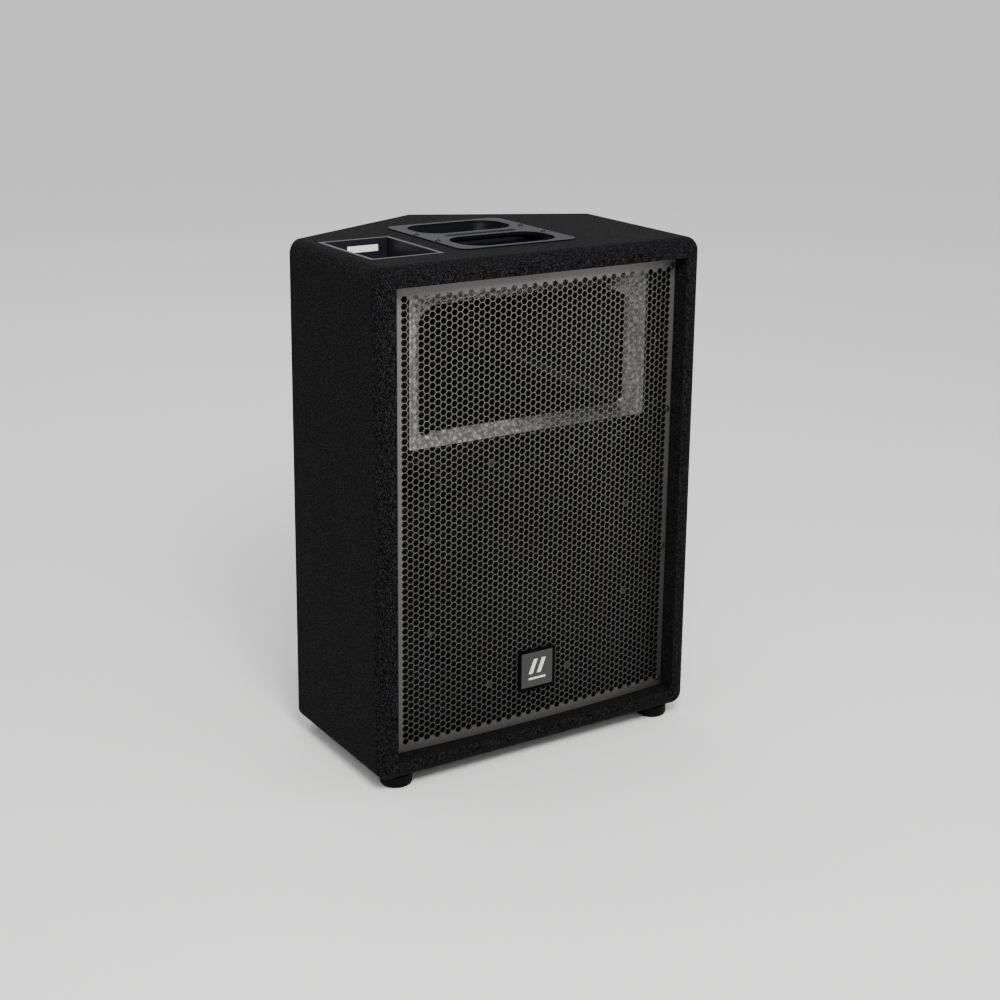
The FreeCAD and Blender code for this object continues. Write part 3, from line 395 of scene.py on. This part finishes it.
finishes = {
    "carpet": newFinish(
        "black needle punch carpet", paintCarpet,
        {"Sheen Weight": 0.013, "Sheen Roughness": 0.4, "Specular IOR Level": 0.025}
    ),
    "coat": newFinish("grille powder coat with painted shade", paintCoatWithShade, {"Specular IOR Level": 0.35}),
    "satin": newFinish(
        "satin black moulding",
        paintPlastic((0.002, 0.002, 0.004), (0.006, 0.006, 0.010), 2600.0, (0.26, 0.40)),
        {"Specular IOR Level": 0.3}
    ),
    "horn": newFinish(
        "black horn moulding with painted highlight", paintHornWithHighlight,
        {"Specular IOR Level": 0.08, "Coat Roughness": 0.12}
    ),
    "port": newFinish(
        "black port moulding",
        paintPlastic((0.0015, 0.0015, 0.002), (0.004, 0.004, 0.005), 1500.0, (0.4, 0.6)),
        {"Specular IOR Level": 0.15}
    ),
    "grip": newFinish(
        "handle moulding",
        paintPlastic((0.0010, 0.0010, 0.0024), (0.0034, 0.0034, 0.0066), 2600.0, (0.36, 0.50)),
        {"Specular IOR Level": 0.09}
    ),
    "dish": newFinish(
        "dish enamel", paintMetal((0.006, 0.006, 0.008), (0.013, 0.013, 0.017), 2000.0, (0.34, 0.48)),
        {"Specular IOR Level": 0.2}
    ),
    "badgeEdge": newFinish(
        "black badge frame",
        paintPlastic((0.0004, 0.0004, 0.0004), (0.0010, 0.0010, 0.0010), 2000.0, (0.5, 0.7)),
        {"Specular IOR Level": 0.03}
    ),
    "badgeFace": newFinish(
        "badge lacquer", paintMetal((0.018, 0.018, 0.018), (0.028, 0.028, 0.028), 1500.0, (0.30, 0.42)),
        {"Specular IOR Level": 0.3}
    ),
    "badgeMark": newFinish(
        "polished badge mark", paintMetal((0.70, 0.70, 0.70), (0.85, 0.85, 0.85), 1500.0, (0.18, 0.3)),
        {"Metallic": 0.8}
    ),
    "screw": newFinish(
        "blackened screw", paintMetal((0.012, 0.012, 0.012), (0.035, 0.034, 0.033), 3000.0, (0.25, 0.42)),
        {"Metallic": 0.6}
    ),
    "label": newFinish("white label film", paintPrinted),
    "ply": newFinish("birch ply", paintPly),
    "blackPly": newFinish("black stained baffle", paintBlackPly, {"Specular IOR Level": 0.08}),
    "rubber": newFinish(
        "foot rubber",
        paintPlastic((0.0010, 0.0010, 0.0010), (0.0030, 0.0030, 0.0030), 1400.0, (0.55, 0.75), 0.00008),
        {"Specular IOR Level": 0.06}
    ),
    "paper": newFinish(
        "black paper cone", paintPaper((0.0008, 0.0008, 0.0009), (0.0026, 0.0026, 0.0028)),
        {"Specular IOR Level": 0.06}
    ),
    "cloth": newFinish(
        "doped cloth", paintCloth((0.0008, 0.0008, 0.0008), (0.0026, 0.0026, 0.0024), 420.0),
        {"Specular IOR Level": 0.08}
    ),
    "spider": newFinish("resin cloth", paintCloth((0.22, 0.13, 0.05), (0.42, 0.28, 0.13), 420.0)),
    "basket": newFinish(
        "basket paint", paintMetal((0.0005, 0.0005, 0.0005), (0.0014, 0.0014, 0.0014), 1200.0, (0.5, 0.7)),
        {"Specular IOR Level": 0.03}
    ),
    "plated": newFinish(
        "yellow zinc plate", paintMetal((0.48, 0.45, 0.37), (0.62, 0.60, 0.52), 900.0, (0.25, 0.4)),
        {"Metallic": 1.0}
    ),
    "ferrite": newFinish("ferrite ring", paintPaper((0.03, 0.03, 0.033), (0.07, 0.07, 0.075))),
    "titanium": newFinish(
        "titanium dome", paintMetal((0.50, 0.50, 0.49), (0.66, 0.66, 0.65), 700.0, (0.2, 0.35)),
        {"Metallic": 1.0}
    ),
    "former": newFinish("brown coil former", paintCloth((0.30, 0.17, 0.07), (0.50, 0.32, 0.16), 900.0)),
    "copper": newFinish("enamelled copper turns", paintCoil, {"Metallic": 0.9}),
    "board": newFinish("green circuit board", paintBoard),
    "capacitor": newFinish(
        "yellow film capacitor", paintPlastic((0.50, 0.30, 0.03), (0.66, 0.42, 0.06), 500.0, (0.3, 0.45))
    ),
    "ceramic": newFinish("white ceramic", paintPaper((0.62, 0.60, 0.54), (0.80, 0.78, 0.72))),
    "brass": newFinish(
        "contact brass", paintMetal((0.60, 0.44, 0.18), (0.76, 0.58, 0.28), 900.0, (0.2, 0.35)),
        {"Metallic": 1.0}
    ),
    "tinsel": newFinish(
        "tinsel braid", paintCloth((0.45, 0.26, 0.12), (0.70, 0.46, 0.26), 1800.0),
        {"Metallic": 0.7}
    ),
    "jacket": newFinish(
        "cable jacket", paintPlastic((0.010, 0.010, 0.011), (0.022, 0.022, 0.024), 1600.0, (0.35, 0.5))
    ),
    "foam": newFinish(
        "gasket foam", paintPaper((0.0008, 0.0008, 0.0008), (0.0026, 0.0026, 0.0026)),
        {"Specular IOR Level": 0.05}
    ),
}
print("finishes made:", len(finishes))


def addObject(name, mesh):
    made = bpy.data.objects.new(name, mesh)
    bpy.context.scene.collection.objects.link(made)
    return made


# pale floor, with the light of a white studio round it
studio = {
    "floor": (0.86, 0.86, 0.86),
    "floorSize": 60.0,
    "sky": (1.0, 1.0, 1.0),
    "skyStrength": 0.95,
    "lamps": (
        # name, place, aim, width, power, tone
        ("keyPanel", (-0.5, -1.4, 1.8), (0.0, 0.0, 0.5), 0.9, 54.0, (1.0, 0.985, 0.96)),
        ("fillPanel", (2.4, -1.2, 1.6), (0.0, 0.0, 0.3), 1.4, 8.0, (0.95, 0.97, 1.0)),
        ("backPanel", (0.4, 2.6, 2.4), (0.0, 0.1, 0.5), 1.8, 16.0, (1.0, 1.0, 1.0)),
    ),
}


def paintFloor(tree, place):
    grain = noiseAt(tree, place, 6.0, 3.0, 0.5)
    low = tuple(value * 0.985 for value in studio["floor"])
    tone = blendTone(tree, grain, (*low, 1), (*studio["floor"], 1))
    return {"Base Color": tone, "Roughness": remap(tree, grain, 0.7, 0.8)}


def makeStudio():
    half = studio["floorSize"] / 2
    mesh = bpy.data.meshes.new("floor")
    corners = [(-half, -half, 0), (half, -half, 0), (half, half, 0), (-half, half, 0)]
    mesh.from_pydata(corners, [], [(0, 1, 2, 3)])
    mesh.materials.append(newFinish("pale studio floor", paintFloor))
    addObject("floor", mesh)
    world = bpy.data.worlds.new("studio")
    world.use_nodes = True
    sky = world.node_tree.nodes["Background"]
    sky.inputs["Color"].default_value = (*studio["sky"], 1)
    sky.inputs["Strength"].default_value = studio["skyStrength"]
    bpy.context.scene.world = world
    for name, place, aim, width, power, tone in studio["lamps"]:
        data = bpy.data.lights.new(name, "AREA")
        data.shape = "DISK"
        data.size = width
        data.energy = power
        data.color = tone
        lamp = addObject(name, data)
        lamp.location = place
        lamp.rotation_euler = (Vector(aim) - Vector(place)).to_track_quat("-Z", "Y").to_euler()


makeStudio()
print("studio made")


def newTree(name, inputs):
    tree = bpy.data.node_groups.new(name, "GeometryNodeTree")
    tree.interface.new_socket("Geometry", in_out="INPUT", socket_type="NodeSocketGeometry")
    for label, kind in inputs:
        tree.interface.new_socket(label, in_out="INPUT", socket_type="NodeSocket" + kind)
    tree.interface.new_socket("Geometry", in_out="OUTPUT", socket_type="NodeSocketGeometry")
    entry = tree.nodes.new("NodeGroupInput")
    return tree, {socket.name: Wire(tree, socket) for socket in entry.outputs if socket.name}


# every tree ends the same way: instances made real, then one material
def closeTree(tree, shape, material):
    real = node(tree, "GeometryNodeRealizeInstances", None, [shape])
    painted = node(tree, "GeometryNodeSetMaterial", None, {"Geometry": real, "Material": material})
    node(tree, "GeometryNodeSetShadeSmooth", None, [painted])
    leave = tree.nodes.new("NodeGroupOutput")
    tree.links.new(painted.socket, leave.inputs["Geometry"])


# runs a tree on a few points and keeps the result as a plain mesh
def growMesh(name, tree, points, values):
    mesh = bpy.data.meshes.new(name + "Points")
    mesh.from_pydata(points, [], [])
    holder = addObject(name, mesh)
    modifier = holder.modifiers.new("shape", "NODES")
    modifier.node_group = tree
    for item in tree.interface.items_tree:
        if item.in_out == "INPUT" and item.name in values:
            modifier[item.identifier] = values[item.name]
    evaluated = holder.evaluated_get(bpy.context.evaluated_depsgraph_get())
    grown = bpy.data.meshes.new_from_object(evaluated)
    holder.modifiers.remove(modifier)
    holder.data = grown
    print(name, "has", len(grown.polygons), "faces")
    return holder


def finishPiece(piece, body, slot, *replaced):
    if replaced:
        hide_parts(*replaced)
    if body:
        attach(piece, body)
    return piece


def smoothByAngle(mesh, degrees):
    mesh.shade_smooth()
    mesh.set_sharp_from_angle(angle=math.radians(degrees))


# applies one modifier and leaves a plain mesh
def applied(piece, kind, settings):
    modifier = piece.modifiers.new("change", kind)
    for name, value in settings.items():
        setattr(modifier, name, value)
    evaluated = piece.evaluated_get(bpy.context.evaluated_depsgraph_get())
    changed = bpy.data.meshes.new_from_object(evaluated)
    piece.modifiers.remove(modifier)
    piece.data = changed


# perforated sheet: hexagon holes in staggered columns, bowed forwards between its two sides
grille = {
    "hole": 0.0073,          # across the flats
    "pitch": 0.008,
    "firstColumn": -0.17583,
    "columns": 53,
    "rows": 66,
    "topRow": 0.5712,
    "lowestHole": 0.0500,
    "thickness": 0.0012,
    "screwHole": 0.0021,
    "edgeStep": 0.004,
}


def makeGrille():
    low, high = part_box("grille")
    bow = high.y - low.y - grille["thickness"]
    tree, given = newTree("perforated sheet", [
        ("Width", "Float"), ("Height", "Float"), ("Centre Height", "Float"), ("Back", "Float"),
        ("Columns", "Int"), ("Rows", "Int"), ("Pitch", "Float"), ("First Column", "Float"),
        ("Top Row", "Float"), ("Lowest Hole", "Float"), ("Hole Radius", "Float"),
        ("Screw Hole", "Float"), ("Edge Step", "Float"), ("Thickness", "Float"),
        ("Bow", "Float"), ("Finish", "Material")])
    border = node(tree, "GeometryNodeCurvePrimitiveQuadrilateral", {"mode": "RECTANGLE"},
                  {"Width": given["Width"], "Height": given["Height"]})
    middle = node(tree, "ShaderNodeCombineXYZ", None, {"Y": given["Centre Height"]})
    border = node(tree, "GeometryNodeTransform", None, {"Geometry": border, "Translation": middle})
    border = node(tree, "GeometryNodeResampleCurve", {"mode": "LENGTH"},
                  {"Curve": border, "Length": given["Edge Step"]})
    # the index of each point gives its column and its row
    index = node(tree, "GeometryNodeInputIndex")
    row = (index / given["Columns"]).maths("FLOOR", index / given["Columns"])
    column = index - row * given["Columns"]
    odd = column.maths("MODULO", column, 2.0)
    across = given["First Column"] + column * given["Pitch"] * (math.sqrt(3) / 2)
    height = given["Top Row"] - row * given["Pitch"] - odd * given["Pitch"] * 0.5
    spot = node(tree, "ShaderNodeCombineXYZ", None, {"X": across, "Y": height})
    count = given["Columns"] * given["Rows"]
    points = node(tree, "GeometryNodePoints", None, {"Count": count, "Position": spot})
    hexagon = node(tree, "GeometryNodeCurvePrimitiveCircle", {"mode": "RADIUS"},
                   {"Resolution": 6, "Radius": given["Hole Radius"]})
    kept = height > given["Lowest Hole"]
    holes = node(tree, "GeometryNodeInstanceOnPoints", None,
                 {"Points": points, "Selection": kept, "Instance": hexagon})
    round12 = node(tree, "GeometryNodeCurvePrimitiveCircle", {"mode": "RADIUS"},
                   {"Resolution": 12, "Radius": given["Screw Hole"]})
    screwSpots = node(tree, "GeometryNodeMeshToPoints", None, {"Mesh": given["Geometry"]})
    screwHoles = node(tree, "GeometryNodeInstanceOnPoints", None,
                      {"Points": screwSpots, "Instance": round12})
    outline = node(tree, "GeometryNodeJoinGeometry", None, {"Geometry": [border, holes, screwHoles]})
    outline = node(tree, "GeometryNodeRealizeInstances", None, [outline])
    sheet = node(tree, "GeometryNodeFillCurve", {"mode": "TRIANGLES"}, {"Curve": outline})
    lift = node(tree, "ShaderNodeCombineXYZ", None, {"Z": 1.0})
    front = node(tree, "GeometryNodeExtrudeMesh", {"mode": "FACES"},
                 {"Mesh": sheet, "Offset": lift, "Offset Scale": given["Thickness"], "Individual": False})
    back = node(tree, "GeometryNodeFlipFaces", None, {"Mesh": sheet})
    solid = node(tree, "GeometryNodeJoinGeometry", None, {"Geometry": [front, back]})
    solid = node(tree, "GeometryNodeMergeByDistance", None, {"Geometry": solid, "Distance": 0.00001})
    upright = node(tree, "GeometryNodeTransform", None, {
        "Geometry": solid, "Rotation": (math.pi / 2, 0, 0),
        "Translation": node(tree, "ShaderNodeCombineXYZ", None, {"Y": given["Back"]})})
    position = node(tree, "GeometryNodeInputPosition")
    x = node(tree, "ShaderNodeSeparateXYZ", None, [position], "X")
    reach = x / (given["Width"] * 0.5)
    bulge = given["Bow"] * (reach * reach - 1)
    bent = node(tree, "GeometryNodeSetPosition", None, {
        "Geometry": upright, "Offset": node(tree, "ShaderNodeCombineXYZ", None, {"Y": bulge})})
    closeTree(tree, bent, given["Finish"])
    screwLow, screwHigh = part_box("grille_screws")
    inset = screws["grille"]["head"]
    spots = [(side * (screwHigh.x - inset), height, 0)
             for side in (-1, 1) for height in spread(screwLow.z + inset, screwHigh.z - inset, 4)]
    piece = growMesh("perforatedGrille", tree, spots, {
        "Width": high.x - low.x, "Height": high.z - low.z,
        "Centre Height": (low.z + high.z) / 2, "Back": high.y,
        "Columns": grille["columns"], "Rows": grille["rows"],
        "Pitch": grille["pitch"], "First Column": grille["firstColumn"],
        "Top Row": grille["topRow"], "Lowest Hole": grille["lowestHole"],
        "Hole Radius": grille["hole"] / math.sqrt(3), "Screw Hole": grille["screwHole"],
        "Edge Step": grille["edgeStep"], "Thickness": grille["thickness"],
        "Bow": bow, "Finish": finishes["coat"]})
    piece.data.shade_flat()
    finishPiece(piece, "cabinet", "powder_coat", "grille")


def spread(low, high, count):
    return [low + (high - low) * step / (count - 1) for step in range(count)]


# pan head screws with a cross recess; the frame gives the corners of each set
screws = {
    "grille": {"head": 0.0036, "rise": 0.0019, "slot": 0.0009, "turn": (math.pi / 2, 0, 0.3)},
    "handle": {"head": 0.0036, "rise": 0.0020, "slot": 0.0009, "turn": (0, 0, 0.5)},
    "shank": 0.00165,
    "shorter": 0.003,           # how much the shank is shorter than the whole screw
}


def screwTree():
    tree, given = newTree("cross head screws", [
        ("Head Radius", "Float"), ("Head Rise", "Float"), ("Shank Radius", "Float"),
        ("Shank Length", "Float"), ("Recess Width", "Float"), ("Turn", "Rotation"), ("Finish", "Material")])
    ball = node(tree, "GeometryNodeMeshUVSphere", None, {"Segments": 28, "Rings": 18, "Radius": 1.0})
    squat = node(tree, "ShaderNodeCombineXYZ", None,
                 {"X": given["Head Radius"], "Y": given["Head Radius"], "Z": given["Head Rise"]})
    dome = node(tree, "GeometryNodeTransform", None, {"Geometry": ball, "Scale": squat})
    block = node(tree, "ShaderNodeCombineXYZ", None, {
        "X": given["Head Radius"] * 4, "Y": given["Head Radius"] * 4, "Z": given["Head Rise"] * 2})
    below = node(tree, "ShaderNodeCombineXYZ", None, {"Z": given["Head Rise"] * -1})
    base = node(tree, "GeometryNodeMeshCube", None, {"Size": block})
    base = node(tree, "GeometryNodeTransform", None, {"Geometry": base, "Translation": below})
    shank = node(tree, "GeometryNodeMeshCylinder", None,
                 {"Vertices": 16, "Radius": given["Shank Radius"], "Depth": given["Shank Length"]})
    sunk = node(tree, "ShaderNodeCombineXYZ", None, {"Z": given["Shank Length"] * -0.5 + 0.0001})
    shank = node(tree, "GeometryNodeTransform", None, {"Geometry": shank, "Translation": sunk})
    bars = []
    for long, wide in ((1.15, 0.0), (0.0, 1.15)):
        size = node(tree, "ShaderNodeCombineXYZ", None, {
            "X": given["Recess Width"] + given["Head Radius"] * long * 0.8,
            "Y": given["Recess Width"] + given["Head Radius"] * wide * 0.8,
            "Z": given["Head Rise"] * 1.2})
        bar = node(tree, "GeometryNodeMeshCube", None, {"Size": size})
        raised = node(tree, "ShaderNodeCombineXYZ", None, {"Z": given["Head Rise"] * 1.05})
        bars.append(node(tree, "GeometryNodeTransform", None, {"Geometry": bar, "Translation": raised}))
    cap = node(tree, "GeometryNodeMeshBoolean", {"operation": "DIFFERENCE"}, {0: dome, 1: [base] + bars})
    whole = node(tree, "GeometryNodeJoinGeometry", None, {"Geometry": [cap, shank]})
    spots = node(tree, "GeometryNodeMeshToPoints", None, {"Mesh": given["Geometry"]})
    placed = node(tree, "GeometryNodeInstanceOnPoints", None,
                  {"Points": spots, "Instance": whole, "Rotation": given["Turn"]})
    closeTree(tree, placed, given["Finish"])
    return tree


def makeScrews(name, tree, spots, size, length, replaced):
    piece = growMesh(name, tree, spots, {
        "Head Radius": size["head"], "Head Rise": size["rise"], "Shank Radius": screws["shank"],
        "Shank Length": length - screws["shorter"], "Recess Width": size["slot"],
        "Turn": size["turn"], "Finish": finishes["screw"]})
    smoothByAngle(piece.data, 35)
    finishPiece(piece, "cabinet", "black_screw", replaced)


def makeAllScrews():
    tree = screwTree()
    low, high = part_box("grille_screws")
    size = screws["grille"]
    spots = [(side * (high.x - size["head"]), low.y + size["rise"] + 0.0001, height)
             for side in (-1, 1) for height in spread(low.z + size["head"], high.z - size["head"], 4)]
    makeScrews("grilleScrewHeads", tree, spots, size, high.y - low.y, "grille_screws")
    low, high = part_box("handle_screws")
    size = screws["handle"]
    spots = [(side * (high.x - size["head"]), place, high.z - size["rise"])
             for side in (-1, 1) for place in (low.y + size["head"], high.y - size["head"])]
    makeScrews("handleScrewHeads", tree, spots, size, high.z - low.z, "handle_screws")


# low ribs along the grip of the handle
ribs = {
    "count": 24,
    "reach": 0.046,
    "long": 0.011,
    "wide": 0.0016,
    "rise": 0.0006,
    "sunk": 0.0003,
    "rounding": 0.0002,
}


def makeRibs():
    tree, given = newTree("raised ribs", [
        ("Length", "Float"), ("Width", "Float"), ("Height", "Float"), ("Finish", "Material")])
    size = node(tree, "ShaderNodeCombineXYZ", None, {
        "X": given["Width"], "Y": given["Length"], "Z": given["Height"]})
    rib = node(tree, "GeometryNodeMeshCube", None, {"Size": size})
    spots = node(tree, "GeometryNodeMeshToPoints", None, {"Mesh": given["Geometry"]})
    placed = node(tree, "GeometryNodeInstanceOnPoints", None, {"Points": spots, "Instance": rib})
    closeTree(tree, placed, given["Finish"])
    low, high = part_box("handle")
    top = high.z + (ribs["rise"] - ribs["sunk"]) / 2
    along = spread(-ribs["reach"], ribs["reach"], ribs["count"])
    piece = growMesh("gripRibs", tree, [(x, (low.y + high.y) / 2, top) for x in along], {
        "Length": ribs["long"], "Width": ribs["wide"],
        "Height": ribs["rise"] + ribs["sunk"], "Finish": finishes["grip"]})
    applied(piece, "BEVEL", {"width": ribs["rounding"], "segments": 2, "limit_method": "ANGLE"})
    smoothByAngle(piece.data, 40)
    finishPiece(piece, "cabinet", "black_plastic")


makeGrille()
makeAllScrews()
makeRibs()


# cuts faces along an even grid, so that long thin triangles don't spoil the shading of large skins
def cutGrid(work, low, high, step):
    for axis in range(3):
        count = int((high[axis] - low[axis]) / step)
        for place in spread(low[axis], high[axis], count + 2)[1:-1] if count else []:
            centre = [0, 0, 0]
            centre[axis] = place
            across = [0, 0, 0]
            across[axis] = 1
            whole = work.verts[:] + work.edges[:] + work.faces[:]
            bmesh.ops.bisect_plane(work, geom=whole, dist=0.0000005, plane_co=centre, plane_no=across)


# copies a CAD node's mesh and joins its loose triangles; an even mesh takes rounding and smoothing better
def cleanMesh(source, finish, even=False, grid=0):
    mesh = nodes[source].data.copy()
    work = bmesh.new()
    work.from_mesh(mesh)
    bmesh.ops.remove_doubles(work, verts=work.verts, dist=0.000002)
    if even:
        bmesh.ops.dissolve_limit(work, angle_limit=math.radians(0.6), verts=work.verts, edges=work.edges)
    if grid:
        cutGrid(work, *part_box(source), grid)
    bmesh.ops.recalc_face_normals(work, faces=work.faces)
    work.to_mesh(mesh)
    work.free()
    mesh.materials.clear()
    mesh.materials.append(finishes[finish])
    return mesh


# a copied piece with rounded hard edges
def roundedCopy(name, source, width, finish, body="cabinet", grid=0):
    mesh = cleanMesh(source, finish, bool(width or grid), grid)
    mesh.name = name
    piece = addObject(name, mesh)
    if width:
        applied(piece, "BEVEL", {"width": width, "segments": 3, "limit_method": "ANGLE",
                                 "angle_limit": math.radians(40), "use_clamp_overlap": True})
    smoothByAngle(piece.data, 32)
    applied(piece, "WEIGHTED_NORMAL", {"keep_sharp": True, "weight": 70})
    slots = nodes[source].data.materials
    slot = slots[0].name.split(".")[0] if slots else "black_plastic"
    finishPiece(piece, body, slot, source)


copies = {
    # piece: CAD node, edge rounding, finish, body, grid
    "carpetSides": ("carpet_wrap", 0, "carpet", "cabinet", 0.010),
    "carpetTop": ("carpet_top", 0, "carpet", "cabinet", 0.010),
    "carpetBottom": ("carpet_bottom", 0, "carpet", "cabinet", 0.010),
    "carryHandle": ("handle", 0.0006, "grip", "cabinet"),
    "connectorDish": ("connector_dish", 0.0003, "dish", "cabinet"),
    "badgeFrame": ("badge_frame", 0.0004, "badgeEdge", "cabinet"),
    "badgePlate": ("badge_plate", 0.0002, "badgeFace", "cabinet"),
    "feetRubber": ("rubber_feet", 0, "rubber", "cabinet"),
    "inputSocketBody": ("input_socket", 0, "satin", "cabinet"),
    "linkSocketBody": ("link_socket", 0, "satin", "cabinet"),
    "hornMoulding": ("horn", 0, "horn", "cabinet"),
    "coneBody": ("woofer_cone", 0, "paper", "cone_assembly"),
    "dustCap": ("woofer_dust_cap", 0, "paper", "cone_assembly"),
}

for name, values in copies.items():
    roundedCopy(name, *values)
print("moulded pieces made:", len(copies))


def makeBlended(name, source, finish, slot, start, end):
    mesh = cleanMesh(source, finish)
    smoothByAngle(mesh, 40)
    piece = addObject(name, mesh)
    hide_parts(source)
    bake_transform(piece)


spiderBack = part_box("woofer_spider")[1].y
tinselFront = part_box("tinsel_leads")[0].y
blends = {
    # piece: CAD node, finish, slot, and two depths
    "rollSurround": ("woofer_surround", "cloth", "doped_cloth", -0.1262, -0.1180),
    "ripplingSpider": ("woofer_spider", "spider", "doped_cloth", spiderBack - 0.0066, spiderBack - 0.0010),
    "tinselTails": ("tinsel_leads", "tinsel", "tinsel", tinselFront + 0.004, tinselFront + 0.012),
}

for name, values in blends.items():
    makeBlended(name, *values)
print("soft links made:", len(blends))

# generic mark on the badge: two slanted bars and a line
mark = {
    "rise": 0.0004,
    "bars": (
        # four corners each, across and up from the plate's centre, in metres
        ((-0.0120, -0.0050), (-0.0065, -0.0050), (0.0005, 0.0130), (-0.0050, 0.0130)),
        ((-0.0005, -0.0050), (0.0050, -0.0050), (0.0120, 0.0130), (0.0065, 0.0130)),
        ((-0.0120, -0.0125), (0.0120, -0.0125), (0.0120, -0.0100), (-0.0120, -0.0100)),
    ),
}


def makeMark():
    low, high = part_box("badge_plate")
    middle = (low + high) / 2
    work = bmesh.new()
    for corners in mark["bars"]:
        back = [work.verts.new((middle.x + x, low.y + 0.0002, middle.z + z)) for x, z in corners]
        front = [work.verts.new((middle.x + x, low.y - mark["rise"], middle.z + z)) for x, z in corners]
        work.faces.new(front)
        work.faces.new(back[::-1])
        for step in range(4):
            after = (step + 1) % 4
            work.faces.new((back[step], back[after], front[after], front[step]))
    bmesh.ops.recalc_face_normals(work, faces=work.faces)
    bmesh.ops.bevel(work, geom=work.edges[:], offset=0.00015, segments=2, affect="EDGES")
    mesh = bpy.data.meshes.new("badgeMark")
    work.to_mesh(mesh)
    work.free()
    mesh.materials.append(finishes["badgeMark"])
    smoothByAngle(mesh, 40)
    finishPiece(addObject("badgeMark", mesh), "cabinet", "badge_face")


makeMark()
print("badge made")

# every CAD node that still shows gets its finish here
nodeFinishes = {
    "ply": ("bottom_panel", "top_panel", "left_side_panel", "right_side_panel",
            "left_rear_panel", "right_rear_panel"),
    "blackPly": ("baffle", "grille_battens"),
    "screw": ("crossover_screws", "dish_screws", "driver_bolts", "foot_screws",
              "horn_screws", "socket_screws", "woofer_bolts"),
    "satin": ("crossover_spacers", "driver_cover", "driver_phase_plug", "woofer_terminals"),
    "port": ("left_port_tube", "right_port_tube"),
    "label": ("blank_label",),
    "board": ("crossover_board",),
    "capacitor": ("crossover_capacitors",),
    "copper": ("crossover_inductors",),
    "ceramic": ("crossover_resistors",),
    "foam": ("dish_gasket", "woofer_gasket"),
    "plated": ("driver_back_plate", "driver_front_plate", "woofer_back_plate", "woofer_top_plate"),
    "titanium": ("driver_diaphragm",),
    "ferrite": ("driver_magnet", "woofer_magnet"),
    "jacket": ("horn_lead", "socket_leads", "woofer_lead"),
    "brass": ("socket_contacts",),
    "former": ("voice_coil",),
    "basket": ("woofer_basket",),
}

for finish, names in nodeFinishes.items():
    for name in names:
        materials = nodes[name].data.materials
        materials.clear()
        materials.append(finishes[finish])
print("CAD nodes finished")
